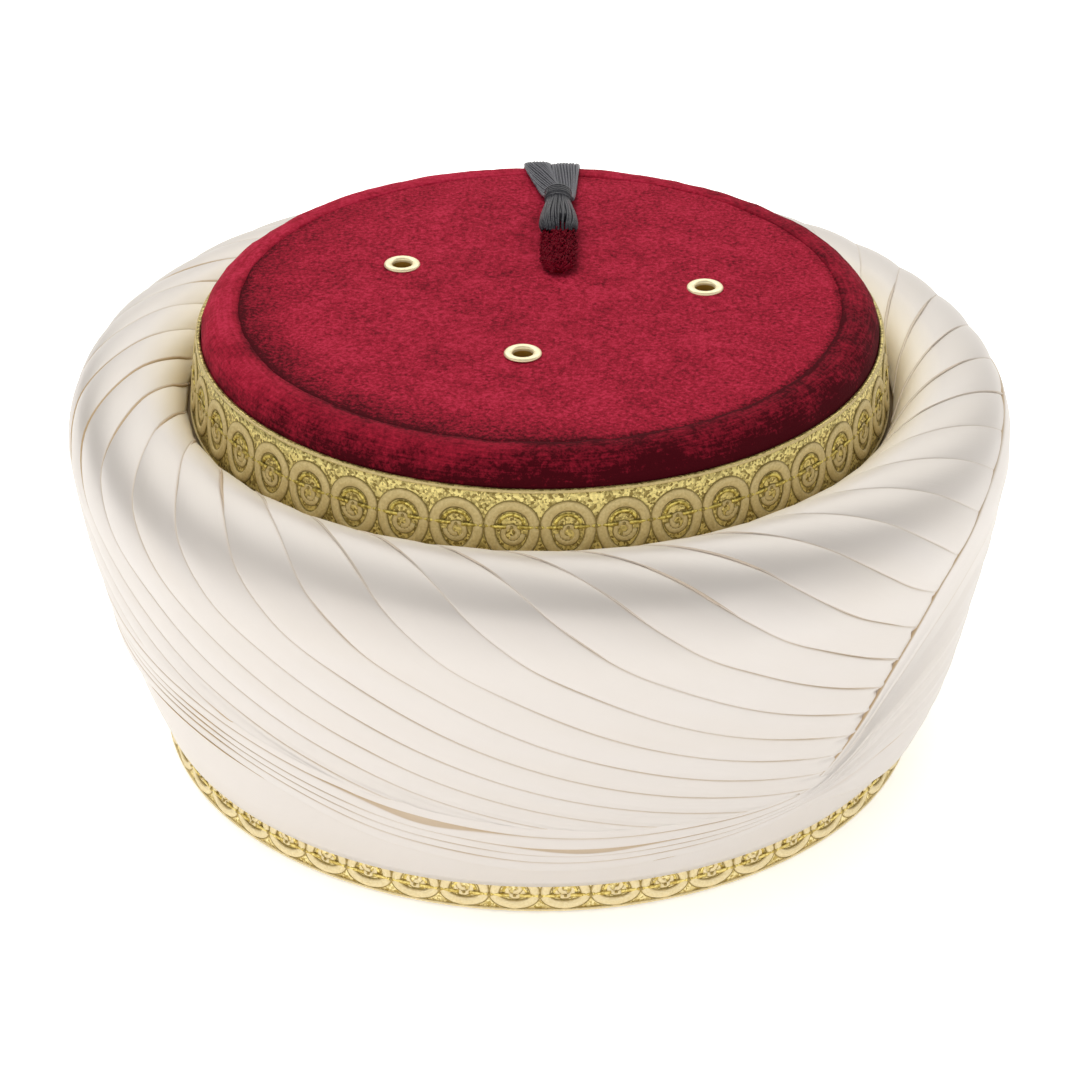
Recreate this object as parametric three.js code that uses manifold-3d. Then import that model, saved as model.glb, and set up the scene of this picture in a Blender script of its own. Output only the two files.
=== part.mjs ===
// Turban: a stiff velvet fez with gold braid, wound with pleated satin.
// Millimetres, +Z up. The origin is the centre of the rim's underside, and the front faces -Y.
// An azimuth is in degrees round the turban from the front, positive towards +X.

import * as THREE from 'three';
import { mergeVertices } from 'three/addons/utils/BufferGeometryUtils.js';
import Module from 'manifold-3d';

const wasm = await Module();
wasm.setup();

// Clearance between neighbouring pieces
const GAP = 0.3;

// Velvet crown
const RIM_RADIUS = 93.9;
const SHOULDER_RADIUS = 81.6;
const SHOULDER_Z = 106.5;
const CROWN_Z = 113.3;
const SEAM_RADIUS = 72.2;
const VELVET = 3;
const DOME_RISE = 1.5;
const CREST_INSET = 7;
const SEAM_DIP = 1.2;
const SEAM_ROUND = 1.6;

// Gold braid, one ribbon used twice
const BRAID_THICKNESS = 0.8;
const CROWN_BRAID = { bottom: 87.6, top: 106.3 };
const RIM_BRAID = { bottom: 0.7, top: 13 };

// Eyelets in the crown top
const EYELET = { flange: 4.8, barrel: 3.2, hole: 2.7, lip: 0.9, shank: 4.4, bore: 3.5 };
const EYELET_PLACES = [
  { name: 'left', x: -33.8, y: 17.4 },
  { name: 'front', x: -4, y: -30.6 },
  { name: 'right', x: 39.9, y: 4.5 },
];

// Padded roll: the section's outside, from the valley beside the crown over the crest to the lip
const ROLL_SECTION = [
  { radius: 88.3, z: 87 },
  { radius: 90.8, z: 92 },
  { radius: 95.8, z: 95 },
  { radius: 103.3, z: 94.4 },
  { radius: 109.7, z: 90.5 },
  { radius: 112.4, z: 83 },
  { radius: 111.4, z: 72 },
  { radius: 106, z: 40 },
  { radius: 102, z: 23 },
  { radius: 96.8, z: 9 },
];
const ROLL_STEPS = 12;
const ROLL_SIDES = 45;

// Pleats: along is the part of the way from valley to lip, turn the azimuth a fold has gained there
const PLEATS = 38;
const FOLD_SEARCH = { from: 0.15, to: 0.97, halvings: 30 };
const PLEAT_START = 2.5;
const PLEAT_SWEEP = [
  { along: 0, turn: -19 },
  { along: 0.07, turn: -9 },
  { along: 0.15, turn: 0 },
  { along: 0.25, turn: 8 },
  { along: 0.4, turn: 20.5 },
  { along: 0.58, turn: 40 },
  { along: 0.74, turn: 66 },
  { along: 1, turn: 125 },
];
const FAN = { under: 1.25, cloth: 0.9, tuck: 1.1, rows: 11, rowPower: 1.1, stepShare: 0.08 };

// Sash: where its edges lie on the roll, pinched near azimuth 38
const SASH_EDGES = [
  { azimuth: -180, upper: 0.42, lower: 0.79 },
  { azimuth: -135, upper: 0.48, lower: 0.76 },
  { azimuth: -90, upper: 0.56, lower: 0.74 },
  { azimuth: -60, upper: 0.625, lower: 0.745 },
  { azimuth: -40, upper: 0.68, lower: 0.785 },
  { azimuth: -20, upper: 0.735, lower: 0.87 },
  { azimuth: 0, upper: 0.775, lower: 0.92 },
  { azimuth: 20, upper: 0.8, lower: 0.91 },
  { azimuth: 36, upper: 0.805, lower: 0.875 },
  { azimuth: 41, upper: 0.75, lower: 0.885 },
  { azimuth: 48, upper: 0.57, lower: 0.92 },
  { azimuth: 56, upper: 0.41, lower: 0.96 },
  { azimuth: 68, upper: 0.31, lower: 0.98 },
  { azimuth: 90, upper: 0.285, lower: 0.965 },
  { azimuth: 130, upper: 0.345, lower: 0.87 },
  { azimuth: 180, upper: 0.42, lower: 0.79 },
];
const SASH = { under: 0.9, cloth: 1.8, tuck: 1.2, strips: 5, stepShare: 0.12, butt: 0.009 };
const SASH_COARSE = 7.5;
const SASH_FINE = { from: 30, to: 75, step: 3 };
const SASH_UNDER = { rows: 6, power: 1.5 };

// Tassel lying on the crown top, its strands coming over the back edge
const TASSEL_X = 4.6;
const TASSEL = { flatness: 0.66, lift: 0.4, sides: 14 };
const TASSEL_FORM = [
  { y: 30, radius: 4.2 },
  { y: 32, radius: 4.9 },
  { y: 37, radius: 4.5 },
  { y: 43, radius: 3.5 },
  { y: 46, radius: 2.9 },
  { y: 47, radius: 3.3 },
  { y: 52, radius: 3.2 },
  { y: 53, radius: 2.6 },
];
const STRANDS = [
  { backX: -1.9, frontX: 2.8, halfWidth: 3 },
  { backX: 5.6, frontX: 5.8, halfWidth: 4.4 },
];
const STRAND = { halfThickness: 0.9, frontY: 51, steps: 9, sides: 8, endAngle: 0.2 };
const FRINGE = { endY: 11, locks: 7, lockRadius: 1.35, halfWidth: 3.6, heap: 1.6, taper: 3, wave: 0.5 };
const LOCK_STEPS = { steps: 2, curveSegments: 3 };

const ROUND_STEPS = 60;
const EYELET_STEPS = 12;

const vec2 = (x, y) => new THREE.Vector2(x, y);
const vec3 = (x, y, z) => new THREE.Vector3(x, y, z);

// A point at an azimuth, a radius and a height
function around(azimuth, radius, z) {
  const angle = THREE.MathUtils.degToRad(azimuth);
  return vec3(radius * Math.sin(angle), -radius * Math.cos(angle), z);
}

// A smooth value read from a table's column, with x from the key column
function read(table, key, column, x) {
  const last = table.length - 2;
  let i = table.findIndex((row, n) => n <= last && x <= table[n + 1][key]);
  if (i < 0) i = last;
  const slope = (n) => {
    const before = table[Math.max(n - 1, 0)];
    const after = table[Math.min(n + 1, table.length - 1)];
    return (after[column] - before[column]) / (after[key] - before[key]);
  };
  const width = table[i + 1][key] - table[i][key];
  const t = (x - table[i][key]) / width;
  const rise = table[i + 1][column] - table[i][column];
  const bend = (1 - t) * (slope(i) * width - rise) - t * (slope(i + 1) * width - rise);
  return table[i][column] + rise * t + t * (1 - t) * bend;
}

// A ring turned from a closed section of radius and height, listed up the outside and down the inside
function turned(section, steps = ROUND_STEPS) {
  const closed = [...section, section[0]];
  return new THREE.LatheGeometry(closed, steps).rotateX(Math.PI / 2);
}

// A skin over sections of equal size, a closed ring or a tube with flat ends.
// Each four-sided patch is split along its shorter diagonal.
function skinOver(sections, closed) {
  const size = sections[0].length;
  const spans = closed ? sections.length : sections.length - 1;
  const points = sections.flat();
  const index = [];
  for (let s = 0; s < spans; s += 1) {
    const here = s * size;
    const next = ((s + 1) % sections.length) * size;
    for (let j = 0; j < size; j += 1) {
      const up = (j + 1) % size;
      const [a, b, c, d] = [here + j, next + j, next + up, here + up];
      const acrossAC = points[a].distanceTo(points[c]) < points[b].distanceTo(points[d]);
      index.push(...(acrossAC ? [a, b, c, a, c, d] : [a, b, d, b, c, d]));
    }
  }
  const end = spans * size;
  for (let j = 1; !closed && j < size - 1; j += 1) {
    index.push(0, j, j + 1);
    index.push(end, end + j + 1, end + j);
  }
  const geometry = new THREE.BufferGeometry().setFromPoints(points);
  geometry.setIndex(index);
  geometry.computeVertexNormals();
  return geometry;
}

// Manifold solid from a closed geometry, and back
function solid(geometry) {
  const bare = geometry.clone();
  bare.deleteAttribute('normal');
  bare.deleteAttribute('uv');
  const merged = mergeVertices(bare, 1e-4);
  return new wasm.Manifold(new wasm.Mesh({
    numProp: 3,
    vertProperties: new Float32Array(merged.attributes.position.array),
    triVerts: new Uint32Array(merged.index.array),
  }));
}

function geometryOf(manifold) {
  const mesh = manifold.getMesh();
  const geometry = new THREE.BufferGeometry();
  geometry.setAttribute('position', new THREE.BufferAttribute(mesh.vertProperties, 3));
  geometry.setIndex(new THREE.BufferAttribute(mesh.triVerts, 1));
  geometry.computeVertexNormals();
  return geometry;
}

const fuse = (geometries) => geometryOf(geometries.map(solid).reduce((a, b) => a.add(b)));

// Crown

const wallRadius = (z) => RIM_RADIUS + (SHOULDER_RADIUS - RIM_RADIUS) * (z / SHOULDER_Z);
const crownTopZ = (radius) => CROWN_Z - SEAM_DIP + DOME_RISE * (1 - (radius / SEAM_RADIUS) ** 2);

function crownWall() {
  const crest = SHOULDER_RADIUS - CREST_INSET;
  const height = CROWN_Z - SHOULDER_Z;
  const seamAngle = Math.acos((SEAM_RADIUS + GAP - crest) / CREST_INSET);
  const outside = new THREE.EllipseCurve(crest, SHOULDER_Z, CREST_INSET, height, 0, seamAngle);
  const hollow = new THREE.EllipseCurve(
    crest, SHOULDER_Z, CREST_INSET - VELVET, height - VELVET, Math.PI / 2, 0, true);
  const seamFoot = vec2(SEAM_RADIUS + GAP, CROWN_Z - VELVET);
  return turned([
    vec2(RIM_RADIUS, 0),
    ...outside.getPoints(5),
    seamFoot,
    ...hollow.getPoints(2),
    vec2(RIM_RADIUS - VELVET, 0),
  ]);
}

function crownTop() {
  const flat = SEAM_RADIUS - SEAM_ROUND;
  const rings = [0.6, 0].map((share) => vec2(flat * share, crownTopZ(flat * share)));
  const underside = crownTopZ(SEAM_RADIUS) - VELVET;
  const disc = new THREE.LatheGeometry([
    vec2(0, underside),
    vec2(SEAM_RADIUS, underside),
    vec2(SEAM_RADIUS, crownTopZ(SEAM_RADIUS) - SEAM_ROUND / 2),
    vec2(flat, crownTopZ(flat)),
    ...rings,
  ], ROUND_STEPS).rotateX(Math.PI / 2);
  const drill = 4 * VELVET;
  let cut = solid(disc);
  for (const place of EYELET_PLACES) {
    const bore = new THREE.CylinderGeometry(EYELET.bore, EYELET.bore, drill, EYELET_STEPS);
    bore.rotateX(Math.PI / 2).translate(place.x, place.y, underside);
    cut = cut.subtract(solid(bore));
  }
  return geometryOf(cut);
}

// A flange rolled over on top of a short barrel
function eyelet({ x, y }) {
  const seat = crownTopZ(Math.hypot(x, y)) + GAP / 2;
  const middle = (EYELET.flange + EYELET.hole) / 2;
  const rolled = new THREE.EllipseCurve(middle, seat, EYELET.flange - middle, EYELET.lip, 0, Math.PI);
  return turned([
    vec2(EYELET.barrel, seat - EYELET.shank),
    vec2(EYELET.barrel, seat),
    ...rolled.getPoints(4),
    vec2(EYELET.hole, seat - EYELET.shank),
  ], EYELET_STEPS).translate(x, y, 0);
}

function braid({ bottom, top }) {
  const inner = (z) => vec2(wallRadius(z) + GAP, z);
  const outer = (z) => vec2(wallRadius(z) + GAP + BRAID_THICKNESS, z);
  return turned([outer(bottom), outer(top), inner(top), inner(bottom)]);
}

// Wrap

const rollCurve = new THREE.CatmullRomCurve3(ROLL_SECTION.map((p) => vec3(p.radius, 0, p.z)));

// A point of the roll's section, lifted off it along the outward normal
function onRoll(along, lift) {
  const point = rollCurve.getPointAt(along);
  const way = rollCurve.getTangentAt(along);
  return vec2(point.x - way.z * lift, point.z + way.x * lift);
}

function wrapRoll() {
  const outside = [];
  for (let i = ROLL_STEPS; i >= 0; i -= 1) outside.push(onRoll(i / ROLL_STEPS, 0));
  const lipZ = outside[0].y;
  const valleyZ = outside[ROLL_STEPS].y;
  const overBraid = RIM_BRAID.top + GAP;
  const braidClear = 2 * GAP + BRAID_THICKNESS;
  return turned([
    ...outside,
    vec2(wallRadius(valleyZ) + GAP, valleyZ),
    vec2(wallRadius(overBraid) + GAP, overBraid),
    vec2(wallRadius(overBraid) + braidClear, overBraid),
    vec2(wallRadius(lipZ) + braidClear, lipZ),
  ], ROLL_SIDES);
}

const wrapDegrees = (azimuth) => THREE.MathUtils.euclideanModulo(azimuth + 180, 360) - 180;
const sashEdge = (edge, azimuth) => read(SASH_EDGES, 'azimuth', edge, wrapDegrees(azimuth));
const sweep = (along) => read(PLEAT_SWEEP, 'along', 'turn', along);

// How far down a fold runs before it meets the sash
function foldEnd(start) {
  let low = FOLD_SEARCH.from;
  let high = FOLD_SEARCH.to;
  for (let i = 0; i < FOLD_SEARCH.halvings; i += 1) {
    const middle = (low + high) / 2;
    const edge = sashEdge('upper', start + sweep(middle));
    if (middle < edge) low = middle;
    else high = middle;
  }
  return low - SASH.butt;
}

// Tucks laid like clapboards: each stands proud along its lower left edge and dips under the next
function wrapFan() {
  const spacing = 360 / PLEATS;
  const sections = [];
  for (let k = 0; k < PLEATS; k += 1) {
    for (const [share, proud] of [[0, 0], [FAN.stepShare, FAN.tuck]]) {
      const start = PLEAT_START + (k + share) * spacing;
      const end = foldEnd(start);
      const alongs = [];
      for (let j = 0; j <= FAN.rows; j += 1) alongs.push(end * (j / FAN.rows) ** FAN.rowPower);
      const place = (along, lift) => {
        const p = onRoll(along, lift);
        return around(start + sweep(along), p.x, p.y);
      };
      const outside = alongs.map((along) => place(along, FAN.under + FAN.cloth + proud));
      const inside = alongs.map((along) => place(along, FAN.under));
      sections.push([...outside.reverse(), ...inside]);
    }
  }
  return skinOver(sections, true);
}

function sashAzimuths() {
  const azimuths = [];
  for (let a = -180; a < 180; a += SASH_COARSE) {
    if (a <= SASH_FINE.from || a >= SASH_FINE.to) azimuths.push(a);
  }
  for (let a = SASH_FINE.from + SASH_FINE.step; a < SASH_FINE.to; a += SASH_FINE.step) azimuths.push(a);
  return azimuths.sort((a, b) => a - b);
}

function wrapSash() {
  const sections = sashAzimuths().map((azimuth) => {
    const upper = sashEdge('upper', azimuth);
    const lower = sashEdge('lower', azimuth);
    const place = (share, lift) => {
      const p = onRoll(lower + (upper - lower) * share, lift);
      return around(azimuth, p.x, p.y);
    };
    const section = [];
    for (let s = 0; s < SASH.strips; s += 1) {
      section.push(place((s + SASH.stepShare) / SASH.strips, SASH.under + SASH.cloth + SASH.tuck));
      section.push(place((s + 1) / SASH.strips, SASH.under + SASH.cloth));
    }
    for (let j = 0; j <= SASH_UNDER.rows; j += 1) {
      section.push(place(1 - (j / SASH_UNDER.rows) ** SASH_UNDER.power, SASH.under));
    }
    return section;
  });
  return skinOver(sections, true);
}

// Tassel

// A flat bundle of threads from the binding to the crown's back edge and over it
function strand({ backX, frontX, halfWidth }) {
  const rise = STRAND.halfThickness + TASSEL.lift;
  const crest = SHOULDER_RADIUS - CREST_INSET;
  const overEdge = new THREE.EllipseCurve(
    crest, SHOULDER_Z, CREST_INSET + rise, CROWN_Z - SHOULDER_Z + rise, Math.PI / 2, STRAND.endAngle, true);
  const start = vec3(frontX, STRAND.frontY, crownTopZ(0) + rise);
  const path = new THREE.CatmullRomCurve3([
    start,
    ...overEdge.getPoints(3).map((p) => vec3(backX, p.x, p.y)),
  ]);
  const across = vec3(1, 0, 0);
  const sections = [];
  for (let i = 0; i <= STRAND.steps; i += 1) {
    const centre = path.getPointAt(i / STRAND.steps);
    const up = across.clone().cross(path.getTangentAt(i / STRAND.steps)).normalize();
    const section = [];
    for (let j = 0; j < STRAND.sides; j += 1) {
      const angle = (2 * Math.PI * j) / STRAND.sides;
      const point = centre.clone().addScaledVector(across, halfWidth * Math.cos(angle));
      section.push(point.addScaledVector(up, STRAND.halfThickness * Math.sin(angle)));
    }
    sections.push(section);
  }
  return skinOver(sections, false);
}

// The bound head is turned about the tassel's own axis, which runs along Y, and pressed flat
function tasselHead() {
  const radii = TASSEL_FORM.map((row) => row.radius);
  const axisZ = crownTopZ(0) + TASSEL.lift + Math.max(...radii) * TASSEL.flatness;
  const head = new THREE.LatheGeometry([
    vec2(0, TASSEL_FORM[0].y),
    ...TASSEL_FORM.map((row) => vec2(row.radius, row.y)),
    vec2(0, TASSEL_FORM.at(-1).y),
  ], TASSEL.sides);
  head.scale(1, 1, TASSEL.flatness).translate(TASSEL_X, 0, axisZ);
  return fuse([head, ...STRANDS.map(strand)]);
}

// A low heap of locks, the outer ones shorter
function tasselFringe() {
  const floor = crownTopZ(0) + TASSEL.lift + FRINGE.lockRadius;
  const root = TASSEL_FORM[0].y - GAP;
  const section = new THREE.Shape().absarc(0, 0, FRINGE.lockRadius, 0, Math.PI * 2);
  const locks = [];
  for (let i = 0; i < FRINGE.locks; i += 1) {
    const side = (2 * i) / (FRINGE.locks - 1) - 1;
    const x = TASSEL_X + side * FRINGE.halfWidth;
    const heap = (1 - side * side) * FRINGE.heap;
    const tip = FRINGE.endY + FRINGE.taper * side * side + (i % 2);
    const bow = FRINGE.wave * (i % 2 ? 1 : -1);
    const path = new THREE.CatmullRomCurve3([
      vec3(x, root, floor + heap),
      vec3(x + bow, (root + tip) / 2, floor + heap),
      vec3(x + side * FRINGE.wave, tip, floor + heap / 2),
    ]);
    locks.push(new THREE.ExtrudeGeometry(section, { ...LOCK_STEPS, extrudePath: path }));
  }
  return fuse(locks);
}

// Materials

const finish = (color, roughness, metalness = 0) => (
  new THREE.MeshStandardMaterial({ color, roughness, metalness }));
const velvet = () => finish('#8d1226', 0.85);
const goldBraid = () => finish('#b59a45', 0.5, 0.35);
const satin = () => finish('#efebe2', 0.45);

// Assembly

const turban = new THREE.Group();

function addPiece(name, geometry, material) {
  const piece = new THREE.Mesh(geometry, material);
  piece.name = name;
  turban.add(piece);
}

addPiece('crown_wall', crownWall(), velvet());
addPiece('crown_top', crownTop(), velvet());
for (const place of EYELET_PLACES) {
  addPiece(`eyelet_${place.name}`, eyelet(place), finish('#c9a24a', 0.3, 1));
}
addPiece('crown_braid', braid(CROWN_BRAID), goldBraid());
addPiece('rim_braid', braid(RIM_BRAID), goldBraid());
addPiece('wrap_roll', wrapRoll(), satin());
addPiece('wrap_fan', wrapFan(), satin());
addPiece('wrap_sash', wrapSash(), satin());
addPiece('tassel_head', tasselHead(), finish('#2e2f33', 0.6));
addPiece('tassel_fringe', tasselFringe(), finish('#4a0a18', 0.8));

export default turban;
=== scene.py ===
# %% [markdown]
# # A wound turban, one piece at a time
# The turban is a stiff velvet fez with two gold braids, a tassel and three eyelets, wound with pleated
# ivory satin. Its plain solids come in as a frame that never moves. Each lesson below takes one of them,
# says what it is on the real object, and builds the piece that is seen in its place.

# %% Load the frame
import math
import random

import bmesh
import bpy
import numpy as np
from mathutils import Matrix, Vector, noise


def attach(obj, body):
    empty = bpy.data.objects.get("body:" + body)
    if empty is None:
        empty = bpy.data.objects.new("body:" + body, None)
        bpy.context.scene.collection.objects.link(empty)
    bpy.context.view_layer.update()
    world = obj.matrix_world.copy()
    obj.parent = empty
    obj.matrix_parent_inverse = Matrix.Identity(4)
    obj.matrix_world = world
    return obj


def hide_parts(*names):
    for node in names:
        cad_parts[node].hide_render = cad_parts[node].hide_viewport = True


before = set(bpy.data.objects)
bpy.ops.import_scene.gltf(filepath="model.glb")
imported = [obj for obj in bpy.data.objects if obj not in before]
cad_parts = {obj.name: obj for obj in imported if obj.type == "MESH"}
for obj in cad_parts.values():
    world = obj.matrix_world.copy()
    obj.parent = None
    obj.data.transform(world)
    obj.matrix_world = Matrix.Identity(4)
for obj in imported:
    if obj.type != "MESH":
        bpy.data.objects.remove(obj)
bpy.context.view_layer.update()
MM = 0.001
print("frame nodes:", ", ".join(sorted(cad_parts)))

# %% [markdown]
# ## The camera
# The turban was photographed from the front, about 30 degrees above the table, with a long lens. A long
# lens keeps the near and far sides of the crown close in size, so distance and lens are set together.

# %% Place the camera
scene = bpy.context.scene
VIEW_DISTANCE = 850 * MM
VIEW_ELEVATION = math.radians(30.2)
VIEW_CENTRE = Vector((0, 0, 45.6 * MM))

camera = bpy.data.objects.new("camera", bpy.data.cameras.new("camera"))
camera.data.sensor_width = 36
camera.data.lens = 113
towards_camera = Vector((0, -math.cos(VIEW_ELEVATION), math.sin(VIEW_ELEVATION)))
camera.location = VIEW_CENTRE + VIEW_DISTANCE * towards_camera
camera.rotation_euler = (-towards_camera).to_track_quat("-Z", "Y").to_euler()
scene.collection.objects.link(camera)
scene.camera = camera
print("camera at", [round(x, 3) for x in camera.location])

# %% [markdown]
# ## Light and floor
# Satin shows what is around it. A white tent whose roof is open gives it pale walls to mirror and, in the
# dark opening, the grey band along its crest. A door in the tent's left wall carries that band round to the
# side. The floor is a sheet of acrylic lit from below, as is used to lose the shadow under a product. A
# filtered lamp in the opening lights what faces up without showing in the satin. Lamps all round would do
# as well, but each would show as a spot.

# %% Colours and nodes
def linear(hex_colour):
    """An sRGB hex colour as the linear colour that Blender's sockets take."""
    channels = [int(hex_colour[i:i + 2], 16) / 255 for i in (1, 3, 5)]
    return (*[c / 12.92 if c <= 0.04045 else ((c + 0.055) / 1.055) ** 2.4 for c in channels], 1)


def new_material(name, sockets):
    """A material with one Principled shader, whose constant sockets are set here."""
    material = bpy.data.materials.new(name)
    material.use_nodes = True
    shader = material.node_tree.nodes["Principled BSDF"]
    for socket, value in sockets.items():
        shader.inputs[socket].default_value = value
    return material, shader


def add_node(material, kind, settings, links):
    """Adds a node. A setting with a small first letter is a property, and any other an input's value."""
    node = material.node_tree.nodes.new("ShaderNode" + kind)
    for name, value in settings.items():
        if isinstance(name, str) and name[0].islower():
            setattr(node, name, value)
        else:
            node.inputs[name].default_value = value
    for name, socket in links.items():
        material.node_tree.links.new(socket, node.inputs[name])
    return node


# %% Floor
FLOOR_REACH = 4.0
FLOOR_GLOW = 0.5
floor_bm = bmesh.new()
bmesh.ops.create_grid(floor_bm, x_segments=1, y_segments=1, size=FLOOR_REACH)
floor_mesh = bpy.data.meshes.new("floor")
floor_bm.to_mesh(floor_mesh)
floor_bm.free()
floor = bpy.data.objects.new("floor", floor_mesh)
scene.collection.objects.link(floor)
lit_acrylic, _ = new_material("lit_acrylic", {
    "Base Color": linear("#fbfbfa"), "Roughness": 0.9, "Emission Color": linear("#ffffff"),
    "Emission Strength": FLOOR_GLOW})
floor_mesh.materials.append(lit_acrylic)
print("floor reaches", FLOOR_REACH, "metres each way")

# %% Lights
LIGHTS = [
    # name, place in metres, aim, width, depth, watts, colour, whether satin mirrors it
    ("front", (-0.3, -2.0, 0.8), (0, 0, 0.3), 5.0, 1.6, 12.5, "#fffaf6", True),
    ("left", (-1.9, 0.6, 0.9), (0, 0, 0.05), 1.4, 1.4, 1.5, "#fffaf2", True),
    ("back", (0, 1.1, 1.4), (0, 0, 0.05), 2.6, 1.2, 15, "#fbfaf4", True),
    ("fill", (-0.6, 0.2, 1.9), (0, 0, 0.05), 1.5, 1.5, 17, "#fffdf9", False),
]
for name, place, aim, width, depth, watts, colour, mirrored in LIGHTS:
    lamp = bpy.data.lights.new(name, "AREA")
    lamp.shape = "RECTANGLE"
    lamp.size = width
    lamp.size_y = depth
    lamp.energy = watts
    lamp.color = linear(colour)[:3]
    light = bpy.data.objects.new(name, lamp)
    light.location = place
    light.rotation_euler = (Vector(aim) - Vector(place)).to_track_quat("-Z", "Y").to_euler()
    light.visible_glossy = mirrored
    scene.collection.objects.link(light)
print("lights:", ", ".join(light[0] for light in LIGHTS))

# %% Tent
TENT_COLOUR = "#f8f6f2"
TENT = [  # sine of the elevation, how bright the tent is there
    (0.0, 0.88), (0.5, 0.80), (0.7, 0.32), (1.0, 0.17),
]
# The door's edge and its open middle are cosines of the angle from the way it lies.
TENT_DOOR = {"way": (-0.88, 0.46, 0.12), "edge": 0.76, "middle": 0.94, "dim": 0.05}

tent = bpy.data.worlds.new("tent")
tent.use_nodes = True
scene.world = tent
outward = add_node(tent, "TexCoord", {}, {}).outputs["Generated"]
skyward = add_node(tent, "SeparateXYZ", {}, {0: outward}).outputs["Z"]
tent_wall = add_node(tent, "ValToRGB", {}, {"Fac": skyward})
for height, _ in TENT[1:-1]:
    tent_wall.color_ramp.elements.new(height)
for stop, (height, brightness) in zip(tent_wall.color_ramp.elements, TENT):
    stop.position = height
    stop.color = (*[brightness * c for c in linear(TENT_COLOUR)[:3]], 1)
towards_door = add_node(tent, "VectorMath", {"operation": "DOT_PRODUCT", 1: TENT_DOOR["way"]},
                        {0: outward}).outputs["Value"]
open_door = add_node(tent, "MapRange", {
    "interpolation_type": "SMOOTHSTEP", "From Min": TENT_DOOR["edge"], "From Max": TENT_DOOR["middle"],
    "To Min": 1.0, "To Max": TENT_DOOR["dim"]}, {"Value": towards_door}).outputs[0]
backdrop = tent.node_tree.nodes["Background"]
tent.node_tree.links.new(tent_wall.outputs["Color"], backdrop.inputs["Color"])
tent.node_tree.links.new(open_door, backdrop.inputs["Strength"])
scene.view_settings.view_transform = "Standard"
print("tent from", TENT[0], "to", TENT[-1])

# %% [markdown]
# ## Helpers for turned pieces
# A fez is round, so most of its pieces are a section carried once round the axis. One helper spins a
# section, and another turns the finished mesh into a piece that rides on the frame.

# %% Spin and finish
def turned(bm, section, steps, closed=True):
    """Spins a section of (radius, height) points once round the Z axis."""
    verts = [bm.verts.new((0, -radius, z)) for radius, z in section]
    pairs = list(zip(verts, verts[1:])) + ([(verts[-1], verts[0])] if closed else [])
    edges = [bm.edges.new(pair) for pair in pairs]
    bmesh.ops.spin(bm, geom=verts + edges, cent=(0, 0, 0), axis=(0, 0, 1), dvec=(0, 0, 0),
                   angle=math.tau, steps=steps, use_merge=True)
    bmesh.ops.remove_doubles(bm, verts=bm.verts, dist=1e-7)
    bmesh.ops.recalc_face_normals(bm, faces=bm.faces)


def finish_piece(bm, name, material, slot, *nodes):
    """Makes the mesh an object that rides on the frame and stands for the named nodes."""
    mesh = bpy.data.meshes.new(name)
    bm.to_mesh(mesh)
    bm.free()
    mesh.shade_smooth()
    mesh.materials.append(material)
    piece = bpy.data.objects.new(name, mesh)
    scene.collection.objects.link(piece)
    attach(piece, "root")
    if nodes:
        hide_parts(*nodes)
    print(f"{name}: {len(mesh.polygons)} faces")
    return piece


# %% [markdown]
# ## Velvet
# Cotton velvet is a dense cut pile about a millimetre tall. It is dull face on and glows a little where the
# pile is seen from the side, which the shader's sheen gives. Its colour is read from one tone by a ramp:
# the pile is a fine noise and the brushed patches are a coarse one. On the crown's edge the tone is painted
# brighter on the side that the light comes from and darker low on the wall, as painted light and shade that
# follow the way the surface faces round the crown. The top is darker in a band inside its edge on one side.

# %% Velvet values
PILE_WIDTH = 1.0 * MM
PATCH_WIDTH = 9 * MM
MIDDLE_TONE = 0.68
# On the edge this way is where the painted light comes from; on the top, the side of its dark edge band.
EDGE_PILE = {"grain": 1.3, "blotch": 0.9, "toned_side": math.radians(-138)}
TOP_PILE = {"grain": 2.2, "blotch": 0.6, "toned_side": math.radians(-58)}
# How much brighter the edge is painted on its lit side, as painted light.
LIT_SIDE_TONE = 0.29
COMBED = {"length": 9 * MM, "width": 0.7 * MM, "tone": 0.6}
# Painted shade: the wall is painted darker low down, where its standing faces get less light.
LOW_WALL_SHADE = {"from": 104 * MM, "to": 113 * MM, "low": -0.86, "high": -0.4}
# The top is darker in a band this wide inside its edge, on one side.
DARK_EDGE_BAND = {"width": 13 * MM, "tone": -0.4}
SEAM_SHADE = {"radius": 72.3 * MM, "width": 2.4 * MM, "tone": -0.3}
SEAM_FADE = {"none": -0.9, "full": 0.1}
VELVET_COLOURS = [  # tone, colour
    (0.15, "#40020d"), (MIDDLE_TONE, "#981a30"), (1.0, "#b62b46"),
]
print("pile", PILE_WIDTH, "patches", PATCH_WIDTH)


# %% Streaks and painted light of the edge, and the dark band of the top
def combed_streaks(material, height, level, radius):
    """A noise drawn out round the crown, as a brush leaves the pile on its edge."""
    across = add_node(material, "Math", {"operation": "SUBTRACT"}, {0: height, 1: radius}).outputs[0]
    across = add_node(material, "CombineXYZ", {}, {"Z": across}).outputs[0]
    across = add_node(material, "VectorMath", {"operation": "SCALE", "Scale": 1 / COMBED["width"]},
                      {0: across}).outputs[0]
    combed = add_node(material, "VectorMath", {"operation": "MULTIPLY_ADD", 1: (1 / COMBED["length"],) * 3},
                      {0: level, 2: across}).outputs[0]
    return add_node(material, "TexNoise", {"Scale": 1.0, "Detail": 3.0}, {"Vector": combed}).outputs["Fac"]


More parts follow.
